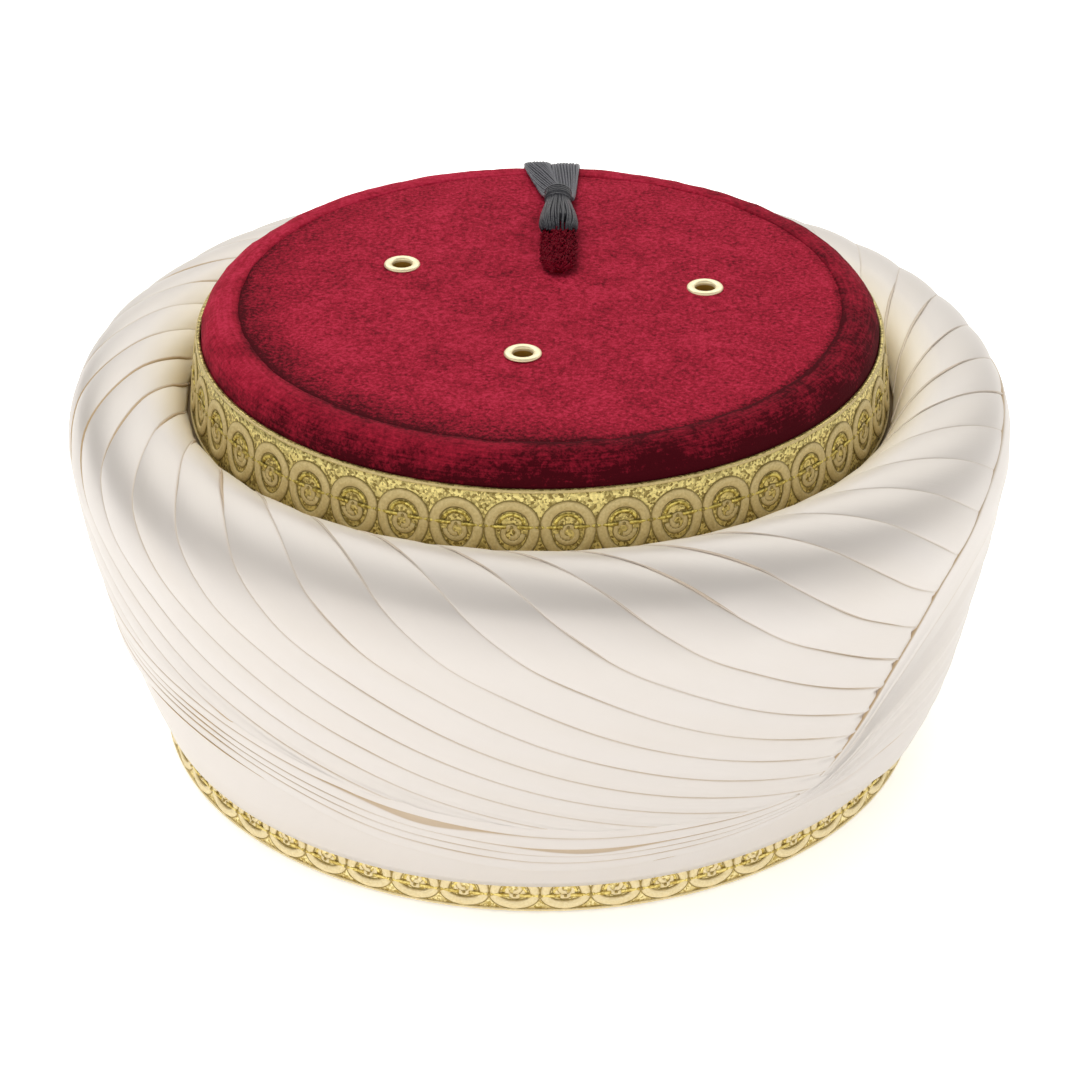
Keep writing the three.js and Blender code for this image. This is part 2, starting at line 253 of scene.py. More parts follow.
def edge_streaks_and_shade(material, tone, toned_side, place, level, radius):
    """The crown's edge is combed in streaks, painted brighter on its lit side and darker low on its wall.
    """
    height = add_node(material, "SeparateXYZ", {}, {0: place}).outputs["Z"]
    streak = combed_streaks(material, height, level, radius)
    # Painted light: brighter on the side that the light comes from.
    tone = add_node(material, "Math", {"operation": "MULTIPLY_ADD", 1: LIT_SIDE_TONE},
                    {0: toned_side, 2: tone}).outputs[0]
    tone = add_node(material, "Math", {"operation": "MULTIPLY_ADD", 1: COMBED["tone"]},
                    {0: streak, 2: tone}).outputs[0]
    # Painted shade: darker low on the wall.
    low_wall_shade = add_node(material, "MapRange", {
        "From Min": LOW_WALL_SHADE["from"], "From Max": LOW_WALL_SHADE["to"],
        "To Min": LOW_WALL_SHADE["low"], "To Max": LOW_WALL_SHADE["high"]}, {"Value": height}).outputs[0]
    return add_node(material, "Math", {"operation": "ADD"}, {0: tone, 1: low_wall_shade}).outputs[0]


def top_edge_band(material, tone, toned_side, from_seam):
    """The top is darker in a band inside its edge, on one side."""
    near_edge = add_node(material, "MapRange", {
        "interpolation_type": "SMOOTHSTEP", "From Max": DARK_EDGE_BAND["width"],
        "To Min": DARK_EDGE_BAND["tone"], "To Max": 0.0}, {"Value": from_seam}).outputs[0]
    toward_dark_side = add_node(material, "Math", {"operation": "MAXIMUM", 1: 0.0}, {0: toned_side}).outputs[0]
    return add_node(material, "Math", {"operation": "MULTIPLY_ADD"},
                    {0: near_edge, 1: toward_dark_side, 2: tone}).outputs[0]


# %% Velvet material
def cotton_velvet(name, brushed):
    """Crimson velvet: the edge gets streaks and painted light and shade, the top a darker edge band."""
    material, shader = new_material(name, {
        "Roughness": 0.9, "Specular IOR Level": 0.1,
        "Sheen Weight": 0.05, "Sheen Roughness": 0.5, "Sheen Tint": linear("#e02040")})
    kind = EDGE_PILE if brushed else TOP_PILE
    place = add_node(material, "TexCoord", {}, {}).outputs["Object"]
    pile = add_node(material, "TexNoise", {"Scale": 1 / PILE_WIDTH, "Detail": 4.0, "Roughness": 0.75},
                    {"Vector": place}).outputs["Fac"]
    patch = add_node(material, "TexNoise", {"Scale": 1 / PATCH_WIDTH, "Detail": 3.0, "Roughness": 0.6},
                     {"Vector": place}).outputs["Fac"]
    least_tone = MIDDLE_TONE - kind["grain"] / 2 - kind["blotch"] / 2
    tone = add_node(material, "Math", {"operation": "MULTIPLY_ADD", 1: kind["grain"], 2: least_tone},
                    {0: pile}).outputs[0]
    tone = add_node(material, "Math", {"operation": "MULTIPLY_ADD", 1: kind["blotch"]},
                    {0: patch, 2: tone}).outputs[0]
    level = add_node(material, "VectorMath", {"operation": "MULTIPLY", 1: (1, 1, 0)}, {0: place}).outputs[0]
    radius = add_node(material, "VectorMath", {"operation": "LENGTH"}, {0: level}).outputs["Value"]
    facing = add_node(material, "VectorMath", {"operation": "NORMALIZE"}, {0: level}).outputs[0]
    # For the edge, the way that its painted light comes from; for the top, the side of its dark edge band.
    toned_side_way = (math.sin(kind["toned_side"]), -math.cos(kind["toned_side"]), 0)
    toned_side = add_node(material, "VectorMath", {"operation": "DOT_PRODUCT", 1: toned_side_way},
                   {0: facing}).outputs["Value"]
    from_seam = add_node(material, "Math", {"operation": "SUBTRACT", 1: SEAM_SHADE["radius"]},
                         {0: radius}).outputs[0]
    from_seam = add_node(material, "Math", {"operation": "ABSOLUTE"}, {0: from_seam}).outputs[0]
    if brushed:
        tone = edge_streaks_and_shade(material, tone, toned_side, place, level, radius)
    else:
        tone = top_edge_band(material, tone, toned_side, from_seam)
    at_seam = add_node(material, "MapRange", {
        "interpolation_type": "SMOOTHSTEP", "From Max": SEAM_SHADE["width"],
        "To Min": SEAM_SHADE["tone"], "To Max": 0.0}, {"Value": from_seam}).outputs[0]
    forward = add_node(material, "VectorMath", {"operation": "DOT_PRODUCT", 1: (0, -1, 0)},
                       {0: facing}).outputs["Value"]
    fade = add_node(material, "MapRange", {"From Min": SEAM_FADE["none"], "From Max": SEAM_FADE["full"]},
                    {"Value": forward}).outputs[0]
    tone = add_node(material, "Math", {"operation": "MULTIPLY_ADD"},
                    {0: at_seam, 1: fade, 2: tone}).outputs[0]
    ramp = add_node(material, "ValToRGB", {}, {"Fac": tone})
    ramp.color_ramp.elements.new(MIDDLE_TONE)
    for stop, (position, colour) in zip(ramp.color_ramp.elements, VELVET_COLOURS):
        stop.position = position
        stop.color = linear(colour)
    bump = add_node(material, "Bump", {"Strength": 0.35, "Distance": 0.5 * MM}, {"Height": pile})
    links = material.node_tree.links
    links.new(ramp.outputs["Color"], shader.inputs["Base Color"])
    links.new(bump.outputs["Normal"], shader.inputs["Normal"])
    return material


edge_velvet = cotton_velvet("cotton_velvet_edge", brushed=True)
top_velvet = cotton_velvet("cotton_velvet_top", brushed=False)
print("velvets:", edge_velvet.name, top_velvet.name)

# %% [markdown]
# ## The crown's wall
# The wall is velvet over a stiff former: a cone that narrows upwards, a rounded shoulder, and a seam where
# the top is set in. One closed section is spun. The pile makes the surface a little uneven, so the shoulder
# is pushed about by a soft noise, as a real one is by its padding.

# %% Crown wall
GAP = 0.3 * MM
RIM_RADIUS = 93.9 * MM
SHOULDER_RADIUS = 81.6 * MM
SHOULDER_Z = 106.5 * MM
CROWN_Z = 113.3 * MM
SEAM_RADIUS = 72.2 * MM
VELVET = 3 * MM
DOME_RISE = 0.65 * MM
CREST_INSET = 7 * MM
SEAM_DIP = 0.35 * MM
SEAM_ROUND = 1.6 * MM
SEAM_SINK = 0.25 * MM
ROUND_STEPS = 240
WALL_STEPS = 24
SHOULDER_STEPS = 22
INSIDE_STEPS = 8
SHOULDER_RIPPLES = [(7 * MM, 0.35 * MM), (1.6 * MM, 0.12 * MM)]  # width, depth


def wall_radius(z):
    return RIM_RADIUS + (SHOULDER_RADIUS - RIM_RADIUS) * z / SHOULDER_Z


def crown_top_z(radius):
    return CROWN_Z - SEAM_DIP + DOME_RISE * (1 - (radius / SEAM_RADIUS) ** 2)


def ripple(bm, width, depth, keep=lambda co: 1.0):
    """Moves each vertex along its normal by a soft noise of that width and depth."""
    bm.normal_update()
    for v in bm.verts:
        v.co += v.normal * depth * keep(v.co) * noise.noise(v.co / width)


def ellipse(centre, radii, start, stop, count):
    angles = np.linspace(start, stop, count)
    return [(centre[0] + radii[0] * math.cos(a), centre[1] + radii[1] * math.sin(a)) for a in angles]


def on_shoulder(co):
    return float(co.z > SHOULDER_Z)


crest = SHOULDER_RADIUS - CREST_INSET
shoulder_height = CROWN_Z - SHOULDER_Z
seam_angle = math.acos((SEAM_RADIUS + GAP - crest) / CREST_INSET)
inside_radii = (CREST_INSET - VELVET, shoulder_height - VELVET)
wall_section = [(wall_radius(z), z) for z in np.linspace(0, SHOULDER_Z, WALL_STEPS, endpoint=False)]
wall_section += ellipse((crest, SHOULDER_Z), (CREST_INSET, shoulder_height), 0, seam_angle, SHOULDER_STEPS)
wall_section += [(SEAM_RADIUS + GAP, CROWN_Z - VELVET)]
wall_section += ellipse((crest, SHOULDER_Z), inside_radii, math.pi / 2, 0, INSIDE_STEPS)
wall_section += [(RIM_RADIUS - VELVET, 0)]

wall_bm = bmesh.new()
turned(wall_bm, wall_section, ROUND_STEPS)
for width, depth in SHOULDER_RIPPLES:
    ripple(wall_bm, width, depth, keep=on_shoulder)
finish_piece(wall_bm, "crown_wall_velvet", edge_velvet, "velvet", "crown_wall")

# %% [markdown]
# ## The crown's top
# A slightly domed velvet disc, sewn into the wall at a sunken seam, with three holes for the eyelets.
# The disc is spun as a solid, roughened a little, and a Boolean with three cylinders drills it.

# %% Crown top
EYELET_PLACES = {
    "left": (-33.8 * MM, 17.4 * MM), "front": (-4 * MM, -30.6 * MM), "right": (39.9 * MM, 4.5 * MM),
}
EYELET_BORE = {"radius": 3.5 * MM, "depth": 6 * VELVET, "sides": 48}
TOP_RINGS = 72
TOP_RIPPLES = [(11 * MM, 0.22 * MM), (1.5 * MM, 0.07 * MM)]  # width, depth
SEAM_LAP = 0.15 * MM
SEAM_STEPS = 7

top_under = crown_top_z(SEAM_RADIUS) - VELVET
sewn_edge = SEAM_RADIUS + GAP + SEAM_LAP
flat_radius = sewn_edge - SEAM_ROUND
top_section = [(0, top_under), (sewn_edge, top_under)]
top_section += [(flat_radius + SEAM_ROUND * math.cos(a),
                 crown_top_z(flat_radius) - SEAM_SINK + SEAM_SINK * math.sin(a))
                for a in np.linspace(0, math.pi / 2, SEAM_STEPS)]
top_section += [(r, crown_top_z(r)) for r in np.linspace(flat_radius, 0, TOP_RINGS)[1:]]

top_bm = bmesh.new()
turned(top_bm, top_section, ROUND_STEPS, closed=False)
above_seam = crown_top_z(SEAM_RADIUS) - SEAM_SINK / 2


def on_top(co):
    return float(co.z > above_seam)


for width, depth in TOP_RIPPLES:
    ripple(top_bm, width, depth, keep=on_top)
crown_top = finish_piece(top_bm, "crown_top_velvet", top_velvet, "velvet", "crown_top")

# %% Drill the crown top
for x, y in EYELET_PLACES.values():
    drill_bm = bmesh.new()
    bmesh.ops.create_cone(drill_bm, cap_ends=True, segments=EYELET_BORE["sides"],
                          radius1=EYELET_BORE["radius"], radius2=EYELET_BORE["radius"],
                          depth=EYELET_BORE["depth"], matrix=Matrix.Translation((x, y, top_under)))
    drill_mesh = bpy.data.meshes.new("drill")
    drill_bm.to_mesh(drill_mesh)
    drill_bm.free()
    drill = bpy.data.objects.new("drill", drill_mesh)
    scene.collection.objects.link(drill)
    cut = crown_top.modifiers.new("drill", "BOOLEAN")
    cut.operation = "DIFFERENCE"
    cut.solver = "EXACT"
    cut.object = drill
    bpy.context.view_layer.objects.active = crown_top
    bpy.ops.object.modifier_apply(modifier=cut.name)
    bpy.data.objects.remove(drill)
print("crown top drilled:", len(crown_top.data.polygons), "faces")

# %% [markdown]
# ## Eyelets
# A stamped brass eyelet is a short barrel rolled over into a flange. Brass polishes to a pale yellow on the
# flange and dulls to brown inside. The section is spun and moved to its hole.

# %% Brass
HAZE_WIDTH = 1.2 * MM
BRASS_ROUGHNESS = (0.26, 0.42)
POLISHED_FROM = 0.92

brass, brass_shader = new_material("stamped_brass", {"Metallic": 0.55, "Roughness": 0.3})
brass_place = add_node(brass, "TexCoord", {}, {}).outputs["Object"]
haze = add_node(brass, "TexNoise", {"Scale": 1 / HAZE_WIDTH, "Detail": 3.0},
                {"Vector": brass_place}).outputs["Fac"]
brass_height = add_node(brass, "SeparateXYZ", {}, {0: brass_place}).outputs["Z"]
up_barrel = add_node(brass, "MapRange", {"From Min": top_under, "From Max": CROWN_Z},
                     {"Value": brass_height}).outputs[0]
dulled = add_node(brass, "ValToRGB", {}, {"Fac": up_barrel})
dulled.color_ramp.elements[0].position = POLISHED_FROM
dulled.color_ramp.elements[0].color = linear("#b48e3c")
dulled.color_ramp.elements[1].color = linear("#fbeec6")
polish = add_node(brass, "MapRange", {"To Min": BRASS_ROUGHNESS[0], "To Max": BRASS_ROUGHNESS[1]},
                  {"Value": haze}).outputs[0]
brass.node_tree.links.new(dulled.outputs["Color"], brass_shader.inputs["Base Color"])
brass.node_tree.links.new(polish, brass_shader.inputs["Roughness"])
print("brass:", brass.name)

# %% Eyelets
EYELET = {"flange": 4.45 * MM, "barrel": 3.2 * MM, "hole": 2.45 * MM, "lip": 0.65 * MM, "shank": 4.4 * MM}
EYELET_STEPS = {"lip": 14, "round": 56}
SHANK_SHARES = (0.3, 0.6, 1.0)

for name, (x, y) in EYELET_PLACES.items():
    seat = crown_top_z(math.hypot(x, y)) + GAP / 2
    middle = (EYELET["flange"] + EYELET["hole"]) / 2
    lip_radii = (EYELET["flange"] - middle, EYELET["lip"])
    section = [(EYELET["barrel"], seat - EYELET["shank"]), (EYELET["barrel"], seat)]
    section += ellipse((middle, seat), lip_radii, 0, math.pi, EYELET_STEPS["lip"])
    section += [(EYELET["hole"], seat - share * EYELET["shank"]) for share in SHANK_SHARES]
    eyelet_bm = bmesh.new()
    turned(eyelet_bm, section, EYELET_STEPS["round"])
    bmesh.ops.translate(eyelet_bm, verts=eyelet_bm.verts, vec=(x, y, 0))
    finish_piece(eyelet_bm, f"eyelet_{name}_brass", brass, "eyelet_metal", f"eyelet_{name}")

# %% [markdown]
# ## Satin
# Silk satin floats its warp threads over the surface, so it shines along them like a soft mirror and has
# almost no texture of its own. That is a strong, blurred reflection over a warm ivory. Inside the tucks it
# is painted tan and dull, as painted shade where little light gets in, and beside the crown it is painted
# paler, with less mirror, as painted light. Both are read from attributes of the folded cloth. The floats
# are finer than a pixel, so they are drawn about half a millimetre wide.

# %% Satin material
FLOAT_WIDTH = 0.45 * MM
FLOAT_LENGTH = 5 * MM
SLUB_WIDTH = 22 * MM
SATIN_ROUGHNESS = (0.42, 0.52)
SATIN_MIRROR = {"face": 0.42, "tuck": 0.06, "dull_from": 0.3}


def silk_satin(name, pale, warm, tuck, valley_light):
    """Ivory satin in four tints, whose floats follow the UV map in metres."""
    material, shader = new_material(name, {"Sheen Weight": 0.1, "Sheen Roughness": 0.4})
    cloth = add_node(material, "UVMap", {"uv_map": "cloth"}, {}).outputs["UV"]
    drift = add_node(material, "TexNoise", {"Scale": 1 / SLUB_WIDTH, "Detail": 2.0},
                     {"Vector": cloth}).outputs["Fac"]
    stretch = add_node(material, "Mapping", {"Scale": (1 / FLOAT_WIDTH, 1 / FLOAT_LENGTH, 1)},
                       {"Vector": cloth}).outputs["Vector"]
    floats = add_node(material, "TexNoise", {"Scale": 1.0, "Detail": 2.0},
                      {"Vector": stretch}).outputs["Fac"]
    # How deep in a tuck, for painted shade, and how far beside the crown, for painted light.
    depth = add_node(material, "Attribute", {"attribute_name": "tuck"}, {}).outputs["Fac"]
    lit_valley = add_node(material, "Attribute", {"attribute_name": "valley"}, {}).outputs["Fac"]
    tint = add_node(material, "Mix", {"data_type": "RGBA", 6: linear(pale), 7: linear(warm)},
                    {0: drift}).outputs[2]
    tint = add_node(material, "Mix", {"data_type": "RGBA", 7: linear(tuck)},
                    {0: depth, 6: tint}).outputs[2]
    tint = add_node(material, "Mix", {"data_type": "RGBA", 7: linear(valley_light)},
                    {0: lit_valley, 6: tint}).outputs[2]
    matt = add_node(material, "Math", {"operation": "MAXIMUM"}, {0: depth, 1: lit_valley}).outputs[0]
    mirror = add_node(material, "MapRange", {
        "From Max": SATIN_MIRROR["dull_from"], "To Min": SATIN_MIRROR["face"],
        "To Max": SATIN_MIRROR["tuck"]}, {"Value": matt}).outputs[0]
    gloss = add_node(material, "MapRange", {"To Min": SATIN_ROUGHNESS[0], "To Max": SATIN_ROUGHNESS[1]},
                     {"Value": floats}).outputs[0]
    bump = add_node(material, "Bump", {"Strength": 0.12, "Distance": 0.15 * MM}, {"Height": floats})
    links = material.node_tree.links
    links.new(tint, shader.inputs["Base Color"])
    links.new(gloss, shader.inputs["Roughness"])
    links.new(mirror, shader.inputs["Metallic"])
    links.new(bump.outputs["Normal"], shader.inputs["Normal"])
    return material


# The tuck colour is painted shade inside the tucks; the last colour is painted light beside the crown.
satin = silk_satin("silk_satin", pale="#dad5d2", warm="#d6cfc8", tuck="#b69c78", valley_light="#fff6e4")
print("satin:", satin.name)

# %% [markdown]
# ## Curves and tables
# The roll's section is a smooth curve through ten points, and the pleats are read from short tables. A
# centripetal Catmull-Rom curve passes through every point without looping, and reading it by its length
# lets a pleat be placed as a share of the way from the valley beside the crown to the lip above the rim.

# %% Smooth curves
def smooth_path(points, per_span=32):
    """A centripetal Catmull-Rom curve through the points, as close points along it."""
    p = np.array(points, float)
    p = np.vstack([2 * p[0] - p[1], p, 2 * p[-1] - p[-2]])
    knots = np.sqrt(np.linalg.norm(np.diff(p, axis=0), axis=1))
    t = np.linspace(0, 1, per_span, endpoint=False)[:, None]
    spans = []
    for i in range(1, len(p) - 2):
        before, here, there, after = p[i - 1:i + 3]
        k0, k1, k2 = knots[i - 1:i + 2]
        leave = k1 * ((here - before) / k0 - (there - before) / (k0 + k1) + (there - here) / k1)
        arrive = k1 * ((there - here) / k1 - (after - here) / (k1 + k2) + (after - there) / k2)
        rise = there - here
        bend = 3 * rise - 2 * leave - arrive
        twist = leave + arrive - 2 * rise
        spans.append(here + leave * t + bend * t ** 2 + twist * t ** 3)
    return np.vstack([*spans, p[-2:-1]])


def read_path(path, share):
    """The points and directions at shares of a path's length."""
    gone = np.r_[0, np.cumsum(np.linalg.norm(np.diff(path, axis=0), axis=1))]
    at = np.asarray(share, float) * gone[-1]
    way = np.gradient(path, gone, axis=0)
    places = np.stack([np.interp(at, gone, column) for column in path.T], -1)
    ways = np.stack([np.interp(at, gone, column) for column in way.T], -1)
    return places, ways / np.linalg.norm(ways, axis=-1, keepdims=True)


def read_table(rows, column, x):
    """A smooth value from a table's column; the first column is the key."""
    key = np.array([row[0] for row in rows], float)
    value = np.array([row[column] for row in rows], float)
    before, after = np.r_[0, 0:len(key) - 1], np.r_[1:len(key), len(key) - 1]
    slope = (value[after] - value[before]) / (key[after] - key[before])
    i = np.clip(np.searchsorted(key, x) - 1, 0, len(key) - 2)
    width, rise = key[i + 1] - key[i], value[i + 1] - value[i]
    t = (x - key[i]) / width
    bend = (1 - t) * (slope[i] * width - rise) - t * (slope[i + 1] * width - rise)
    return value[i] + rise * t + t * (1 - t) * bend


# %% [markdown]
# ## The padded roll
# Under the pleats is a stuffed roll that bulges over the fez and draws in towards the rim. Only a plain
# crescent of it shows above the lower braid, with its satin pulled tight, so the section is spun and barely
# rippled. Cloth simulation would puff it where the pleats hold it flat.

# %% Roll
ROLL_POINTS = [  # radius and height in millimetres, from the valley over the crest to the lip
    (88.3, 87), (90.8, 92), (95.8, 95), (103.3, 94.4), (109.7, 90.5),
    (112.4, 83), (111.4, 72), (106, 40), (102, 23), (96.8, 9),
]
BRAID_THICKNESS = 0.8 * MM
CROWN_BRAID = {"bottom": 87.6 * MM, "top": 106.3 * MM}
RIM_BRAID = {"bottom": 0.7 * MM, "top": 13 * MM}
ROLL_STEPS = 60
ROLL_RIPPLE = {"width": 30 * MM, "depth": 0.35 * MM, "off_wall": 4 * MM}

roll_path = smooth_path(np.array(ROLL_POINTS) * MM)
roll_length = np.linalg.norm(np.diff(roll_path, axis=0), axis=1).sum()


def on_roll(along, lift):
    """Radius and height of a point on the roll, lifted off it along the outward normal."""
    place, way = read_path(roll_path, along)
    return place[..., 0] - way[..., 1] * lift, place[..., 1] + way[..., 0] * lift


def around(azimuth, radius, z):
    """Points at azimuths in degrees from the front, positive towards +X."""
    angle = np.radians(azimuth)
    return np.stack([radius * np.sin(angle), -radius * np.cos(angle), z + 0 * angle], -1)


def lay_uv(bm, measure):
    """Gives the mesh a UV map in metres, from a function of a face corner's place."""
    uv = bm.loops.layers.uv.get("cloth") or bm.loops.layers.uv.new("cloth")
    for face in bm.faces:
        for loop in face.loops:
            loop[uv].uv = measure(loop.vert.co)


def off_wall(co):
    return float(math.hypot(co.x, co.y) > wall_radius(co.z) + ROLL_RIPPLE["off_wall"])


outside = [tuple(map(float, on_roll(share, 0.0))) for share in np.linspace(1, 0, ROLL_STEPS)]
lip_z = outside[0][1]
valley_z = outside[-1][1]
over_braid = RIM_BRAID["top"] + GAP
braid_clear = 2 * GAP + BRAID_THICKNESS
roll_section = outside + [
    (wall_radius(valley_z) + GAP, valley_z),
    (wall_radius(over_braid) + GAP, over_braid),
    (wall_radius(over_braid) + braid_clear, over_braid),
    (wall_radius(lip_z) + braid_clear, lip_z),
]
roll_bm = bmesh.new()
turned(roll_bm, roll_section, ROUND_STEPS)
ripple(roll_bm, ROLL_RIPPLE["width"], ROLL_RIPPLE["depth"], keep=off_wall)
lay_uv(roll_bm, lambda co: (co.x + co.y, co.z))
# Painted shade: the roll's tint darkens up towards the crown's braid, in the valley beside it.
roll_shade = roll_bm.verts.layers.float.new("tuck")
for v in roll_bm.verts:
    v[roll_shade] = np.interp(v.co.z, [CROWN_BRAID["bottom"] / 2, CROWN_BRAID["bottom"] - VELVET], [0, 1])
wrap_roll = finish_piece(roll_bm, "wrap_roll_satin", satin, "satin", "wrap_roll")

# %% [markdown]
# ## Pleats as folded cloth
# The satin is folded into knife pleats: it runs flat, turns under, comes back and turns again. The table
# below is one pleat seen end on. A flat grid with a column for each row of the table is made first, and
# each of its vertices is then laid on the roll, so the folds are real layers with shade between them.

# %% One pleat, end on
PLEAT_SECTION = np.array([
    # share of the pleat's width, millimetres past that, rise as a share of the tuck
    (0, 0.75, -0.15), (0, 0.28, -0.12), (0, 0.05, 0.00), (0, -0.06, 0.18), (0, 0.00, 0.36), (0, 0.14, 0.52),
    (0, 0.34, 0.62), (0, 0.80, 0.68), (0.22, 0, 0.90), (0.38, 0, 0.98), (0.52, 0, 1.00), (0.70, 0, 0.95),
    (1, -1.20, 0.72), (1, -0.50, 0.60), (1, -0.16, 0.40), (1, 0.02, 0.10), (1, 0.36, -0.10),
])
FACE = 0.62
LEAST_TUCK = 0.7
CLOTH = 0.22 * MM
print("pleat of", len(PLEAT_SECTION), "points")


def pleat_share(step, width, full_width):
    """Where a step of the section lies across a pleat. Narrow pleats have narrower grooves."""
    past = PLEAT_SECTION[step, 1] * MM * np.minimum(1, width / full_width)
    return PLEAT_SECTION[step, 0] + past / width


def flat_cloth(columns, rows):
    """A flat grid, and each vertex's column and row as whole numbers."""
    bm = bmesh.new()
    bm.loops.layers.uv.new("cloth")
    bmesh.ops.create_grid(bm, x_segments=columns, y_segments=rows, size=0.5)
    flat = np.array([v.co for v in bm.verts]) + 0.5
    return bm, np.rint(flat[:, 0] * columns).astype(int), np.rint(flat[:, 1] * rows).astype(int)


def pleat_rise(rise, bulge, fold):
    """The rise with its face rounded by bulge and its tuck opened by fold."""
    return 1 + (np.maximum(rise, FACE) - 1) * bulge + np.minimum(rise - FACE, 0) * fold


def tuck_depth(rise, shade):
    """How far a rise lies inside a tuck, from 0 on the face to 1 in the groove."""
    return np.interp(-rise, [-shade["from"], -shade["to"]], [0, 1])


def lay_cloth(bm, places, uvs, depth, lit_valley):
    """Moves each vertex to its place, closes the ring and records what the satin needs to know of it."""
    layer = bm.loops.layers.uv["cloth"]
    for name in ("tuck", "valley"):
        bm.verts.layers.float.new(name)
    tuck = bm.verts.layers.float["tuck"]
    valley = bm.verts.layers.float["valley"]
    for v, place, flat, painted_shade, bright in zip(bm.verts, places, uvs, depth, lit_valley):
        v.co = place
        v[tuck] = painted_shade
        v[valley] = bright
        for loop in v.link_loops:
            loop[layer].uv = flat
    bmesh.ops.remove_doubles(bm, verts=bm.verts, dist=1e-7)
    bmesh.ops.recalc_face_normals(bm, faces=bm.faces)
    if sum(f.normal.dot(f.calc_center_median()) * f.calc_area() for f in bm.faces) < 0:
        bmesh.ops.reverse_faces(bm, faces=bm.faces)


def thicken(piece):
    """Gives the cloth its thickness, inwards from the face that shows."""
    solidify = piece.modifiers.new("thickness", "SOLIDIFY")
    solidify.thickness = CLOTH
    solidify.offset = -1


# %% [markdown]
# ## The fan
# Thirty-eight pleats cover the roll, each starting beside the crown and sweeping down to the right until it
# runs under the sash. A pleat's azimuth is its start plus a sweep read from a table. The tuck gets lower
# where the pleats crowd together near the sash.

# %% Fan tables
PLEATS = 38
PLEAT_START = 2.5
SPACING = 360 / PLEATS
PLEAT_SWEEP = [  # along, degrees gained
    (0, -19), (0.07, -9), (0.15, 0), (0.25, 8), (0.4, 20.5), (0.58, 40), (0.74, 66), (1, 125),
]
SASH_EDGES = [  # azimuth, along at the upper edge, along at the lower edge
    (-180, 0.42, 0.79), (-135, 0.465, 0.765), (-90, 0.535, 0.745), (-60, 0.6, 0.748),
    (-40, 0.657, 0.787), (-20, 0.725, 0.87), (0, 0.775, 0.92), (20, 0.8, 0.91),
    (36, 0.805, 0.875), (41, 0.75, 0.885), (48, 0.57, 0.92), (56, 0.41, 0.96),
    (68, 0.31, 0.98), (90, 0.285, 0.965), (130, 0.345, 0.87), (180, 0.42, 0.79),
]
FOLD_ENDS = {"least": 0.15, "most": 0.97, "halvings": 30}
print(PLEATS, "pleats,", round(SPACING, 2), "degrees apart")


def half_turn(azimuth):
    """The same azimuth, from -180 to 180 degrees."""
    return np.mod(azimuth + 180, 360) - 180


def sweep(along):
    return read_table(PLEAT_SWEEP, 1, along)


def sash_edge(column, azimuth):
    return read_table(SASH_EDGES, column, half_turn(azimuth))


def fold_end(start):
    """How far down the roll each fold runs before it meets the sash."""
    low = np.full_like(start, FOLD_ENDS["least"])
    high = np.full_like(start, FOLD_ENDS["most"])
    for _ in range(FOLD_ENDS["halvings"]):
        middle = (low + high) / 2
        above = middle < sash_edge(1, start + sweep(middle))
        low, high = np.where(above, middle, low), np.where(above, high, middle)
    return low


# %% Fan sizes
FAN_ROWS = 60
FAN_HEM = [  # millimetres past the end, drop in millimetres, shade
    (0.5, 0.08, 0.0), (0.9, 0.35, 0.5), (0.9, 0.75, 1.0), (0.0, 1.1, 1.0),
]
FAN_LIFT = {"top": 2.1 * MM, "foot": 1.25 * MM}
FAN_TUCK = 0.85 * MM
FAN_SHADE = {"from": 0.56, "to": 0.1}
FAN_FOLD = [  # along, how open the tucks are there
    (0, 0.55), (0.12, 0.52), (0.26, 0.58), (0.42, 0.85), (0.6, 1), (1, 1),
]
LINE_SHADE = [  # azimuth, how much stronger the tucks are shaded there
    (-180, 1), (-140, 1.3), (-95, 1.9), (-55, 1.7), (-25, 1), (180, 1),
]
INNER_EDGE = 0.012  # along, where the shade of the edge beside the crown ends
VALLEY = [(0, 1), (0.05, 1), (0.12, 0), (1, 0)]  # along, how much painted light brightens the satin beside the crown
WIDE_PLEAT = 4 * MM  # from here on a groove has its full width
FULL_WIDTH = 9 * MM  # from here on a tuck has its full height
BULGE_RANGE = (0.2, 1.3)
SWEEP_STEP = 0.01
FAN_RIPPLE = (26 * MM, 0.3 * MM)
CREASE_LAP = [  # azimuth, how far the sash laps over the fan there
    (-180, 0), (20, 0), (34, 0), (44, 1), (90, 1), (125, 0), (180, 0),
]
CREASE = {"lift": 0.75 * MM, "drop": 0.7 * MM, "lap": 3.2 * MM, "slip": 1.3 * MM, "flatten": 7 * MM,
          "flatness": 0.85, "wrinkle": 0.45 * MM, "wrinkles": 13, "shade": 0.35}


def crease_lap(azimuth):
    return np.clip(read_table(CREASE_LAP, 1, half_turn(azimuth)), 0, 1)


def near_end(along, end, reach):
    """From 0 at that reach before a fold's end to 1 at the end."""
    return np.clip(1 + (along - end) * roll_length / reach, 0, 1)


# %% Fold the fan
fan_bm, column, row = flat_cloth(PLEATS * len(PLEAT_SECTION), FAN_ROWS + len(FAN_HEM))
pleat, step = np.divmod(column, len(PLEAT_SECTION))
rise = PLEAT_SECTION[step, 2]
fold_start = PLEAT_START + SPACING * (pleat + PLEAT_SECTION[step, 0])
end = fold_end(fold_start)
hem = np.array([(0, 0, 0)] * (FAN_ROWS + 1) + FAN_HEM)
along = end * np.minimum(row / FAN_ROWS, 1) + hem[row, 0] * MM / roll_length

